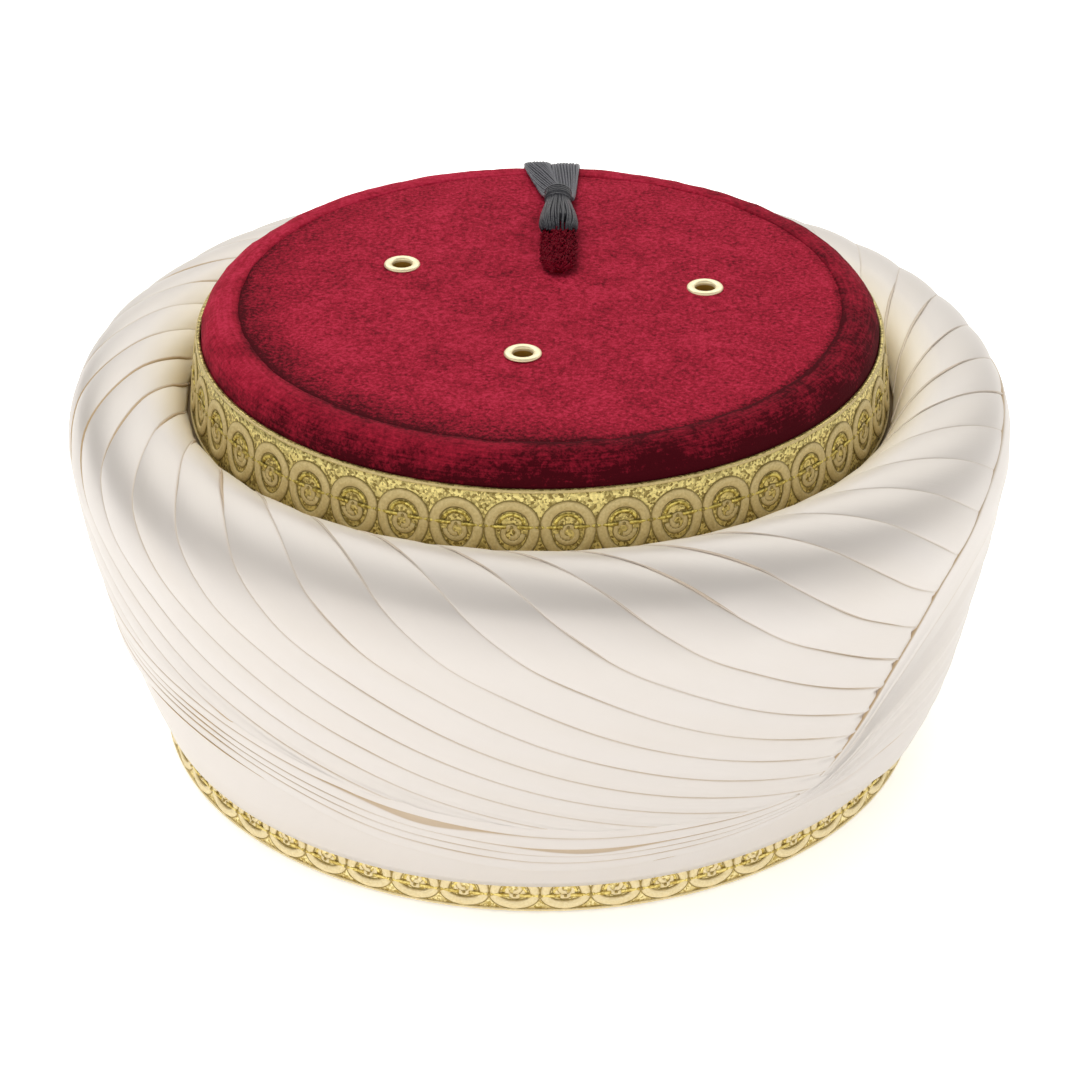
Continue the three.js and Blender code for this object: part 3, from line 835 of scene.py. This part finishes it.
radius_there, _ = on_roll(along, 0.0)
turned_by = (sweep(along + SWEEP_STEP) - sweep(along - SWEEP_STEP)) / (2 * SWEEP_STEP)
turn_rate = np.radians(turned_by) * radius_there
pleat_width = np.radians(SPACING) * radius_there * np.sin(np.arctan2(roll_length, turn_rate))
crowding = np.clip(pleat_width / FULL_WIDTH, LEAST_TUCK, 1)
at_crease = crease_lap(fold_start + sweep(end))
slip = at_crease * near_end(along, end, CREASE["slip"]) ** 2
rounded = 1 - CREASE["flatness"] * (at_crease * near_end(along, end, CREASE["flatten"]))
fold = read_table(FAN_FOLD, 1, along) * rounded
bulge = np.clip(pleat_width / FULL_WIDTH, *BULGE_RANGE) * rounded
lift = FAN_LIFT["top"] + (FAN_LIFT["foot"] - FAN_LIFT["top"]) * along / end
lift = lift + pleat_rise(rise, bulge, fold * crowding) * FAN_TUCK - hem[row, 1] * MM - slip * CREASE["drop"]
print("pleats from", round(pleat_width.min() / MM, 1), "to", round(pleat_width.max() / MM, 1), "mm wide")

# %% Lay the fan
start = PLEAT_START + SPACING * (pleat + pleat_share(step, pleat_width, WIDE_PLEAT))
azimuth = start + sweep(along)
fan_places = around(azimuth, *on_roll(along, lift))
fan_uvs = np.stack([np.radians(start) * RIM_RADIUS, along * roll_length], -1)
line_shade = np.minimum(1, fold * np.interp(half_turn(azimuth), *zip(*LINE_SHADE)))
fan_depth = np.maximum.reduce([
    tuck_depth(rise, FAN_SHADE) * line_shade,
    np.clip(1 - along / INNER_EDGE, 0, 1),
    hem[row, 2] * (1 - (1 - CREASE["shade"]) * at_crease),
])
# Painted light: the satin beside the crown is painted paler where the crown's shade falls.
fan_valley_light = np.interp(along, *zip(*VALLEY)) * (1 - fan_depth)
lay_cloth(fan_bm, fan_places, fan_uvs, fan_depth, fan_valley_light)
ripple(fan_bm, *FAN_RIPPLE)
wrap_fan = finish_piece(fan_bm, "wrap_fan_satin", satin, "satin", "wrap_fan")
thicken(wrap_fan)

# %% [markdown]
# ## The sash
# Five long pleats run round the foot of the fan, pinched together at the front right, where they turn up
# along a crease. They are folded as the fan is, with their lips facing down, between two edges read from a
# table of azimuths.

# %% Sash sizes
STRIP_EDGES = np.array([0, 0.23, 0.385, 0.54, 0.785, 1])
STRIPS = len(STRIP_EDGES) - 1
SASH_COLUMNS = 480
SASH_LIFT = 1.0 * MM
SASH_TUCK = 0.75 * MM
SASH_SHADE = {"from": 0.66, "to": 0.3}
SASH_RIPPLE = (24 * MM, 0.3 * MM)
STRIP_WIDTH = 5 * MM  # from here on a tuck has its full height
WIDE_STRIP = 6 * MM  # from here on a groove has its full width
STRIP_BULGE = 0.3
GAPES = [  # azimuth, half its length in degrees, the strip under the opening, opening
    (-15, 6.5, 3, 2.1 * MM), (6, 7, 2, 1.6 * MM),
]
GAPE = {"from_step": 14, "floor": 0.5, "shade": 0.75}
SASH_HEM = [(0.30, -0.7), (-0.5, -1.2)]  # millimetres past the upper edge, rise
print(STRIPS, "strips in", SASH_COLUMNS, "columns")

# %% Fold the sash
steps_up = STRIPS * len(PLEAT_SECTION)
sash_bm, column, row = flat_cloth(SASH_COLUMNS, steps_up + len(SASH_HEM) - 1)
azimuth = -180 + 360 * column / SASH_COLUMNS
upper = sash_edge(1, azimuth)
lower = sash_edge(2, azimuth)
lap = crease_lap(azimuth)
strip, step = np.divmod(np.minimum(row, steps_up - 1), len(PLEAT_SECTION))
strip_share = np.diff(STRIP_EDGES)[strip]
strip_width = (lower - upper) * roll_length * strip_share
crowding = np.clip(strip_width / STRIP_WIDTH, LEAST_TUCK, 1)
across = pleat_share(step, strip_width, WIDE_STRIP)
rise = PLEAT_SECTION[step, 2]
depth = tuck_depth(rise, SASH_SHADE)
for place, half_length, under, opening in GAPES:
    lens = np.exp(-((azimuth - place) / half_length) ** 2) * (strip == under)
    in_groove = step >= GAPE["from_step"]
    across = np.where(step <= GAPE["from_step"], across * (1 - lens * opening / strip_width), across)
    rise = np.where(in_groove, rise * (1 - lens) + GAPE["floor"] * lens, rise)
    depth = np.where(in_groove, depth * (1 - lens) + GAPE["shade"] * lens, depth)
for i, (past, drop) in enumerate(SASH_HEM):
    in_hem = row == steps_up + i
    across = np.where(in_hem, 1 + past * MM / strip_width, across)
    rise = np.where(in_hem, drop, rise)
    depth = np.where(in_hem, 1 - (1 - CREASE["shade"]) * lap, depth)
print("strips from", round(strip_width.min() / MM, 1), "to", round(strip_width.max() / MM, 1), "mm wide")

# %% Lay the sash
share = STRIP_EDGES[strip] + strip_share * across
along = lower + (upper - lap * CREASE["lap"] / roll_length - lower) * share
inside = np.clip(share, 0, 1)
wrinkle = CREASE["wrinkle"] * np.sin(CREASE["wrinkles"] * math.tau * share) * np.sin(math.pi * inside)
lip_rise = lap * (CREASE["lift"] * inside ** 3 + wrinkle)
lift = SASH_LIFT + pleat_rise(rise, STRIP_BULGE, 1) * SASH_TUCK * crowding + lip_rise
sash_places = around(azimuth, *on_roll(along, lift))
sash_uvs = np.stack([along * roll_length, np.radians(azimuth) * RIM_RADIUS], -1)
lay_cloth(sash_bm, sash_places, sash_uvs, depth, 0 * depth)
ripple(sash_bm, *SASH_RIPPLE)
wrap_sash = finish_piece(sash_bm, "wrap_sash_satin", satin, "satin", "wrap_sash")
thicken(wrap_sash)

# %% [markdown]
# ## How much cloth
# The area of the fan's and the sash's meshes is printed, in square metres. The sash's is the way round at
# its lower edge, by the
# width of its strips with their tucks.

for piece in (wrap_fan, wrap_sash):
    print(piece.name, "area", round(sum(p.area for p in piece.data.polygons), 4), "square metres")

# %% [markdown]
# ## Threads
# Braid and tassel are made of threads. A thread is a small ring of vertices extruded from point to point
# along a path and turned to face the way it runs. A curve object with a bevel would do it too, but a mesh
# can be spun into copies and joined with its neighbours.

# %% Draw a thread
STEEP = 0.9


def draw_thread(bm, path, radius, sides=5, outward=None, flatness=1.0):
    """Extrudes a ring along the path. Outward gives the way that a flattened thread faces at each point."""
    path = np.asarray(path, float)
    ways = np.gradient(path, axis=0)
    frames = []
    side = None
    for i, (place, way) in enumerate(zip(path, ways)):
        z = Vector(way).normalized()
        if outward is not None:
            y = Vector(outward[i])
        elif side is not None:
            y = side
        else:
            y = Vector((0, 0, 1)) if abs(z.z) < STEEP else Vector((1, 0, 0))
        x = y.cross(z).normalized()
        y = z.cross(x).normalized()
        side = y
        frames.append(Matrix.Translation(place) @ Matrix((x, y, z)).transposed().to_4x4())
    size = np.broadcast_to(np.asarray(radius, float), len(path))
    flat = Matrix.Diagonal((1, flatness, 1, 1))
    last = frames[0] @ flat @ Matrix.Scale(size[0], 4)
    ring = bmesh.ops.create_circle(bm, cap_ends=True, segments=sides, radius=1.0, matrix=last)["verts"]
    edges = list({e for v in ring for e in v.link_edges})
    for frame_here, r in zip(frames[1:], size[1:]):
        grown = bmesh.ops.extrude_edge_only(bm, edges=edges)["geom"]
        ring = [g for g in grown if isinstance(g, bmesh.types.BMVert)]
        chosen = set(ring)
        edges = [g for g in grown if isinstance(g, bmesh.types.BMEdge) and set(g.verts) <= chosen]
        here = frame_here @ flat @ Matrix.Scale(r, 4)
        bmesh.ops.transform(bm, matrix=here @ last.inverted(), verts=ring)
        last = here
    bmesh.ops.edgeloop_fill(bm, edges=edges)


# %% [markdown]
# ## Gold braid
# The braid is a woven ribbon: a ground of gold lame mesh, rings of thick silk cord with a dark thread along
# both sides and a small curl inside, short lines of gold thread in and between the rings, small knots of
# thread, and a corded edge. The curls alternate, one to the left and the next to the right. One pair is
# drawn and spun into copies.

# %% Braid materials
GLINT_WIDTH = 0.55 * MM
GLINT_STOPS = (0.12, 0.75)
RIB_WIDTH = 0.6 * MM
SHEEN_OF_LUSTRE = 0.2


def gold_lame(name, bright, dim):
    """Metal-wrapped thread woven open: every float glints on its own, and gaps between them are dark."""
    material, shader = new_material(name, {"Metallic": 0.75, "Roughness": 0.38})
    place = add_node(material, "TexCoord", {}, {}).outputs["Object"]
    cells = add_node(material, "TexVoronoi", {"Scale": 1 / GLINT_WIDTH}, {"Vector": place})
    glint = add_node(material, "SeparateColor", {}, {0: cells.outputs["Color"]}).outputs[0]
    ramp = add_node(material, "ValToRGB", {}, {"Fac": glint})
    for stop, position, colour in zip(ramp.color_ramp.elements, GLINT_STOPS, (dim, bright)):
        stop.position = position
        stop.color = linear(colour)
    bump = add_node(material, "Bump", {"Strength": 0.9, "Distance": 0.4 * MM}, {"Height": glint})
    links = material.node_tree.links
    links.new(ramp.outputs["Color"], shader.inputs["Base Color"])
    links.new(bump.outputs["Normal"], shader.inputs["Normal"])
    return material


def silk_cord(name, pale, painted_shade, metallic, lustre=0.5, roughness=0.5):
    """Silk wound over a core: fine ribs, paler on their backs, with painted shade between them."""
    material, shader = new_material(name, {
        "Metallic": metallic, "Roughness": roughness, "Specular IOR Level": lustre,
        "Sheen Weight": SHEEN_OF_LUSTRE * lustre, "Sheen Roughness": 0.4, "Sheen Tint": linear(pale)})
    place = add_node(material, "TexCoord", {}, {}).outputs["Object"]
    ribs = add_node(material, "TexNoise", {"Scale": 1 / RIB_WIDTH, "Detail": 2.0},
                    {"Vector": place}).outputs["Fac"]
    tint = add_node(material, "Mix", {"data_type": "RGBA", 6: linear(painted_shade), 7: linear(pale)},
                    {0: ribs}).outputs[2]
    bump = add_node(material, "Bump", {"Strength": 0.7, "Distance": 0.25 * MM}, {"Height": ribs})
    links = material.node_tree.links
    links.new(tint, shader.inputs["Base Color"])
    links.new(bump.outputs["Normal"], shader.inputs["Normal"])
    return material


# One braid in two sets: the rim's is painted paler as painted light, the crown's darker as painted shade.
BRAID_COLOURS = {  # the bright and the dim colour of each braid's threads
    "crown_braid": {"ground": ("#eedd90", "#8a7840"), "scrolls": ("#dfcc94", "#ae985c"),
                    "outlines": ("#a08c4c", "#74642e"), "gold_line": ("#e8d676", "#a08a3c")},
    "rim_braid": {"ground": ("#fff0b4", "#c0a85c"), "scrolls": ("#fdefc6", "#dec88a"),
                  "outlines": ("#c2aa62", "#947e40"), "gold_line": ("#f8e48e", "#c4a850")},
}


def braid_threads(name):
    """The four materials of a braid."""
    colours = BRAID_COLOURS[name]
    return {"ground": gold_lame(f"{name}_lame", *colours["ground"]),
            "scrolls": silk_cord(f"{name}_cord", *colours["scrolls"], metallic=0.1),
            "outlines": silk_cord(f"{name}_outline_thread", *colours["outlines"], metallic=0.0),
            "gold_line": gold_lame(f"{name}_gold_thread", *colours["gold_line"])}


# %% Braid ground and copies
RIBBON_STEPS = 8


def braid_surface(z):
    return wall_radius(z) + GAP + BRAID_THICKNESS


def way_out(points):
    """The level way out from the axis at each point."""
    flat = points * np.array([1, 1, 0])
    return flat / np.linalg.norm(flat, axis=-1, keepdims=True)


def braid_ground(name, ribbon, material):
    """The woven ribbon, which stands for the braid's node."""
    heights = np.linspace(ribbon["bottom"], ribbon["top"], RIBBON_STEPS)
    section = [(braid_surface(z), z) for z in heights]
    section += [(wall_radius(z) + GAP, z) for z in (ribbon["top"], ribbon["bottom"])]
    ground_bm = bmesh.new()
    turned(ground_bm, section, ROUND_STEPS)
    finish_piece(ground_bm, f"{name}_ground", material, "gold_braid", name)


def spin_copies(bm, count):
    """Repeats what has been drawn round the axis."""
    bmesh.ops.spin(bm, geom=bm.verts[:] + bm.edges[:] + bm.faces[:], cent=(0, 0, 0), axis=(0, 0, 1),
                   dvec=(0, 0, 0), angle=math.tau * (count - 1) / count, steps=count - 1,
                   use_duplicate=True)
    bmesh.ops.recalc_face_normals(bm, faces=bm.faces)


# %% Braid sizes
RING = {"cord": 1.2 * MM, "height": 0.34, "steps": 49}
CURL = {"from": 2.5 * MM, "to": 1.0 * MM, "drop": 0.75, "turns": 1.3, "cord": 0.6 * MM, "steps": 20}
OUTLINE = {"radius": 0.12 * MM, "gap": 0.05 * MM}
GLITTER = {"inset": 2.05 * MM, "half": 0.52 * MM, "height": 0.4}
GLITTER_ARC = slice(2, RING["steps"] // 2 - 1)  # most of a ring's upper half
GLITTER_LINE = np.linspace(-0.4, 0.4, 13)  # in pitches
LIFTED = {"cord": 0.1 * MM, "arc": 0.12 * MM, "line": 0.3 * MM, "dot": 0.35 * MM}
SIDES = {"cord": 8, "outline": 5, "gold": 6, "edge": 8}
FULL_RING = 0.64  # share of the ribbon's width that rings of the full cord take up
DOT = 0.55 * MM
INNER_DOT = 0.8 * DOT
EDGE_CORD = 0.35 * MM
PAIR = [(-0.5, 1), (0.5, -1)]  # place in pitches, side that the curl turns to
print("ring cord", RING["cord"], "curl cord", CURL["cord"])


# %% Braid builder
def gold_braid(name, ribbon, pairs, middle, over, under):
    """A ribbon between two heights, with pairs of rings that reach over and under its middle line."""
    pitch = math.tau * wall_radius(middle) / (2 * pairs)
    tall = (over + under) / (ribbon["top"] - ribbon["bottom"])
    turn = np.linspace(0, math.tau, RING["steps"])
    ring_tall = np.where(np.sin(turn) > 0, over, under)
    ring_cord = RING["cord"] * tall / FULL_RING
    curl_turn = np.linspace(0, CURL["turns"] * math.tau, CURL["steps"])
    curl_reach = np.linspace(CURL["from"], CURL["to"], CURL["steps"])
    curl_middle = middle - CURL["drop"] * (under - over)

    def on_ribbon(across, z, lift):
        radius = braid_surface(z) + lift
        angle = across / wall_radius(middle)
        return np.stack([radius * np.sin(angle), -radius * np.cos(angle), z + 0 * angle], -1)

    def ring(unit, offset, lift):
        wide = pitch / 2 - ring_cord + offset
        return on_ribbon(unit * pitch + wide * np.cos(turn),
                         middle + (ring_tall + offset) * np.sin(turn), lift)

    def curl(unit, side, offset, lift):
        reach = curl_reach + offset
        return on_ribbon(unit * pitch + side * reach * np.cos(curl_turn),
                         curl_middle - reach * np.sin(curl_turn), lift)

    threads = braid_threads(name)
    braid_ground(name, ribbon, threads["ground"])
    scroll_bm = bmesh.new()
    outline_bm = bmesh.new()
    line_bm = bmesh.new()
    beside = ring_cord + OUTLINE["gap"]
    beside_curl = CURL["cord"] + OUTLINE["gap"]
    for unit, side in PAIR:
        cords = [(ring(unit, 0.0, LIFTED["cord"]), ring_cord),
                 (curl(unit, side, 0.0, LIFTED["cord"]), CURL["cord"])]
        for path, cord in cords:
            draw_thread(scroll_bm, path, cord, SIDES["cord"], way_out(path), RING["height"])
        outlines = [ring(unit, beside, LIFTED["cord"]), ring(unit, -beside, LIFTED["cord"]),
                    curl(unit, side, beside_curl, LIFTED["cord"])]
        for path in outlines:
            draw_thread(outline_bm, path, OUTLINE["radius"], SIDES["outline"], way_out(path))
        for place, size in ((unit - 0.5, DOT), (unit, INNER_DOT)):
            dot = Matrix.Translation(on_ribbon(np.array(place * pitch), middle, LIFTED["dot"]))
            bmesh.ops.create_icosphere(outline_bm, subdivisions=1, radius=size, matrix=dot)
        arc = ring(unit, -GLITTER["inset"], LIFTED["arc"])[GLITTER_ARC]
        line = on_ribbon((unit - 0.5) * pitch + GLITTER_LINE * pitch, middle, LIFTED["line"])
        for path in (arc, line):
            draw_thread(line_bm, path, GLITTER["half"], SIDES["gold"], way_out(path), GLITTER["height"])
    for part_bm in (scroll_bm, outline_bm, line_bm):
        spin_copies(part_bm, pairs)
    for edge_z in (ribbon["bottom"] + EDGE_CORD, ribbon["top"] - EDGE_CORD):
        edge_middle = (braid_surface(edge_z), edge_z)
        edge_section = ellipse(edge_middle, (EDGE_CORD, EDGE_CORD), 0, math.tau, SIDES["edge"] + 1)
        turned(scroll_bm, edge_section[:-1], ROUND_STEPS)
    for part, part_bm in (("scrolls", scroll_bm), ("outlines", outline_bm), ("gold_line", line_bm)):
        finish_piece(part_bm, f"{name}_{part}", threads[part], "gold_braid")


# %% Two braids
gold_braid("crown_braid", CROWN_BRAID, pairs=21, middle=97.6 * MM, over=4.95 * MM, under=7.1 * MM)
gold_braid("rim_braid", RIM_BRAID, pairs=25, middle=4.9 * MM, over=4.9 * MM, under=2.5 * MM)

# %% [markdown]
# ## The tassel
# A black silk tassel lies on the crown: two flat strands come over the back edge, cross into a binding of a
# few turns, and spread into a bell of lengthwise threads over a short crimson fringe. Each is drawn thread
# by thread around a plain core. The strands are painted paler than the head, as painted sheen where they
# catch the light, so they are a piece of their own.

# %% Tassel silk
black_silk = silk_cord("black_silk", "#34343e", "#08080c", 0.15, lustre=0.6, roughness=0.4)
# The strands' silk is the head's black silk painted paler, as painted sheen.
sheen_painted_silk = silk_cord("black_silk_painted_sheen", "#6e6e78", "#141418", 0.15, lustre=0.6, roughness=0.4)
crimson_silk = silk_cord("crimson_silk", "#860721", "#2c010a", 0.0, lustre=0.05)
draw = random.Random(11)
print("silks:", black_silk.name, sheen_painted_silk.name, crimson_silk.name)

# %% Tassel head
TASSEL_X = 4.6 * MM
TASSEL = {"flatness": 0.66, "lift": 0.4 * MM}
BELL = [  # distance from the crown's middle and radius in millimetres
    (30, 4.2), (32, 4.9), (37, 4.5), (43, 3.5), (46, 2.9), (47, 3.3), (52, 3.2), (53, 2.6),
]
BELL_CORE = {"inset": 3 * MM, "steps": 14, "sides": 20}
BELL_THREADS = {"count": 46, "steps": 12, "top": 46.8 * MM, "radius": 0.36 * MM, "sunk": 0.6}
STRAY = {"angle": 0.3, "end_mm": 0.4, "sway": 0.06, "waves": 3, "phase": 6, "radius": (0.85, 1.1)}
DROOP = {"reach": 2.4 * MM, "drop": 1.8 * MM, "from": 35 * MM, "over": 7.5 * MM}
BINDING = {"from": 46.4 * MM, "to": 52.6 * MM, "turns": 6, "steps": 18, "radius": 3.0 * MM,
           "thread": 0.58 * MM}

bell = np.array(BELL) * MM
axis_z = crown_top_z(0) + TASSEL["lift"] + bell[:, 1].max() * TASSEL["flatness"]


def on_bell(y, angle, inset):
    radius = np.interp(y, bell[:, 0], bell[:, 1]) - inset
    return np.stack([TASSEL_X + radius * np.cos(angle), y + 0 * radius,
                     axis_z + TASSEL["flatness"] * radius * np.sin(angle)], -1)


def upwards(points):
    return np.tile((0, 0, 1.0), (len(points), 1))


tassel_bm = bmesh.new()
core_y = np.linspace(bell[0, 0] + BELL_CORE["inset"], bell[-1, 0], BELL_CORE["steps"])
core = np.array([(TASSEL_X, y, axis_z) for y in core_y])
core_radius = np.interp(core_y, bell[:, 0], bell[:, 1]) - BELL_THREADS["radius"]
draw_thread(tassel_bm, core, core_radius, BELL_CORE["sides"], upwards(core), TASSEL["flatness"])
for i in range(BELL_THREADS["count"]):
    angle = math.tau * (i + STRAY["angle"] * draw.random()) / BELL_THREADS["count"]
    droop = max(0.0, math.sin(angle))
    end_y = bell[0, 0] - DROOP["reach"] * droop + draw.uniform(-STRAY["end_mm"], STRAY["end_mm"]) * MM
    y = np.linspace(BELL_THREADS["top"], end_y, BELL_THREADS["steps"])
    wave = np.linspace(0, STRAY["waves"], BELL_THREADS["steps"])
    sway = STRAY["sway"] * np.sin(wave + draw.uniform(0, STRAY["phase"]))
    path = on_bell(y, angle + sway, BELL_THREADS["radius"] * BELL_THREADS["sunk"])
    path[:, 2] -= DROOP["drop"] * droop * np.clip((DROOP["from"] - y) / DROOP["over"], 0, 1) ** 2
    draw_thread(tassel_bm, path, BELL_THREADS["radius"] * draw.uniform(*STRAY["radius"]))
turn = np.linspace(0, BINDING["turns"] * math.tau, BINDING["turns"] * BINDING["steps"])
wind = np.linspace(BINDING["from"], BINDING["to"], len(turn))
binding = np.stack([TASSEL_X + BINDING["radius"] * np.cos(turn), wind,
                    axis_z + TASSEL["flatness"] * BINDING["radius"] * np.sin(turn)], -1)
draw_thread(tassel_bm, binding, BINDING["thread"])
bmesh.ops.recalc_face_normals(tassel_bm, faces=tassel_bm.faces)
finish_piece(tassel_bm, "tassel_head_silk", black_silk, "tassel_thread", "tassel_head")

# %% Tassel strands
STRANDS = [
    # x at the back and at the binding, half width at both, half thickness, lift, all in mm; turns of twist
    (6.6, 6.2, 3.7, 2.2, 0.6, 0.05, 0.12),
    (-0.6, 4.4, 3.4, 2.6, 0.6, 0.35, 0.55),
]
STRAND = {"front": 49 * MM, "on_crown": 58 * MM, "crossing": 0.3, "end_angle": 0.2, "edge_steps": 4,
          "steps": 20, "core": 0.8, "sides": 12}
STRAND_THREADS = {"radius": 0.34 * MM, "spacing": 1.7, "stray": 0.2, "uneven": (0.85, 1.15)}

strand_bm = bmesh.new()
for *sizes_in_mm, twist in STRANDS:
    back_x, front_x, back_half, front_half, thick, lift = (size * MM for size in sizes_in_mm)
    rise = thick + lift
    over_edge = ellipse((crest, SHOULDER_Z), (CREST_INSET + rise, shoulder_height + rise), math.pi / 2,
                        STRAND["end_angle"], STRAND["edge_steps"])
    crossing_x = front_x + STRAND["crossing"] * (back_x - front_x)
    middle_line = [(front_x, STRAND["front"], axis_z - thick + lift)]
    middle_line += [(crossing_x, STRAND["on_crown"], crown_top_z(0) + rise)]
    middle_line += [(back_x, y, z) for y, z in over_edge]
    gone = np.linspace(0, 1, STRAND["steps"])
    places, ways = read_path(smooth_path(middle_line), gone)
    ups = np.cross((1, 0, 0), ways)
    half = front_half + (back_half - front_half) * gone
    draw_thread(strand_bm, places, STRAND["core"] * half, STRAND["sides"], ups, thick / back_half)
    count = round(math.pi * (back_half + thick) / (STRAND_THREADS["spacing"] * STRAND_THREADS["radius"]))
    for i in range(count):
        stray = draw.uniform(-STRAND_THREADS["stray"], STRAND_THREADS["stray"])
        angle = math.tau * ((i + stray) / count + twist * gone)
        path = places + (half * np.cos(angle))[:, None] * np.array((1.0, 0, 0))
        path = path + (STRAND["core"] * thick * np.sin(angle))[:, None] * ups
        draw_thread(strand_bm, path, STRAND_THREADS["radius"] * draw.uniform(*STRAND_THREADS["uneven"]))
bmesh.ops.recalc_face_normals(strand_bm, faces=strand_bm.faces)
finish_piece(strand_bm, "tassel_strands_silk", sheen_painted_silk, "tassel_thread")

# %% Tassel fringe
TUFT = [  # distance from the crown's middle, half width and height in millimetres
    (32.5, 3.9, 5.2), (30, 4.1, 4.8), (27, 4.2, 4.4), (24, 4.1, 4.0),
    (20, 4.2, 3.5), (15, 4.0, 3.0), (12.4, 3.2, 2.3), (11.4, 1.8, 1.4),
]
TUFT_CORE = {"middle": 0.42, "half": 0.85, "flatness": 0.4, "sides": 16}
FIBRES = {"count": 620, "thread": 0.17 * MM, "length": 3.4 * MM, "curl": 0.5 * MM, "steps": 6, "sides": 4}
FIBRE_RANGES = {"root_mm": (12.6, 32), "length": (0.5, 1), "waves": (3, 7), "phase": (0, 6),
                "thread": (0.8, 1.3)}
FIBRE_REACH = {"least": 0.84, "bow": 0.24, "past_level": 0.25, "height": 0.5, "curl": 0.5}

tuft = np.array(TUFT) * MM
tuft_y, tuft_half, tuft_height = tuft[::-1].T
tuft_floor = crown_top_z(0) + TASSEL["lift"]
fringe_bm = bmesh.new()
core_z = tuft_floor + TUFT_CORE["middle"] * tuft[:, 2]
core = np.stack([np.full(len(tuft), TASSEL_X), tuft[:, 0], core_z], -1)
draw_thread(fringe_bm, core, TUFT_CORE["half"] * tuft[:, 1], TUFT_CORE["sides"], upwards(core),
            TUFT_CORE["flatness"])
for _ in range(FIBRES["count"]):
    root_y = draw.uniform(*FIBRE_RANGES["root_mm"]) * MM
    half = np.interp(root_y, tuft_y, tuft_half)
    tall = np.interp(root_y, tuft_y, tuft_height)
    angle = draw.uniform(-FIBRE_REACH["past_level"], math.pi + FIBRE_REACH["past_level"])
    t = np.linspace(0, 1, FIBRES["steps"])
    y = root_y - FIBRES["length"] * t * draw.uniform(*FIBRE_RANGES["length"])
    waves = t * draw.uniform(*FIBRE_RANGES["waves"])
    curl = FIBRES["curl"] * np.sin(waves + draw.uniform(*FIBRE_RANGES["phase"]))
    bow = FIBRE_REACH["least"] + FIBRE_REACH["bow"] * np.sin(math.pi * t) * draw.random()
    reach = bow * np.minimum(half, np.interp(y, tuft_y, tuft_half))
    x = TASSEL_X + reach * math.cos(angle) + curl
    z = tuft_floor + TUFT_CORE["middle"] * tall
    z = z + FIBRE_REACH["height"] * reach / half * tall * math.sin(angle) + FIBRE_REACH["curl"] * curl
    thread = FIBRES["thread"] * draw.uniform(*FIBRE_RANGES["thread"])
    draw_thread(fringe_bm, np.stack([x, y, z], -1), thread, FIBRES["sides"])
bmesh.ops.recalc_face_normals(fringe_bm, faces=fringe_bm.faces)
finish_piece(fringe_bm, "tassel_fringe_silk", crimson_silk, "tassel_fringe", "tassel_fringe")
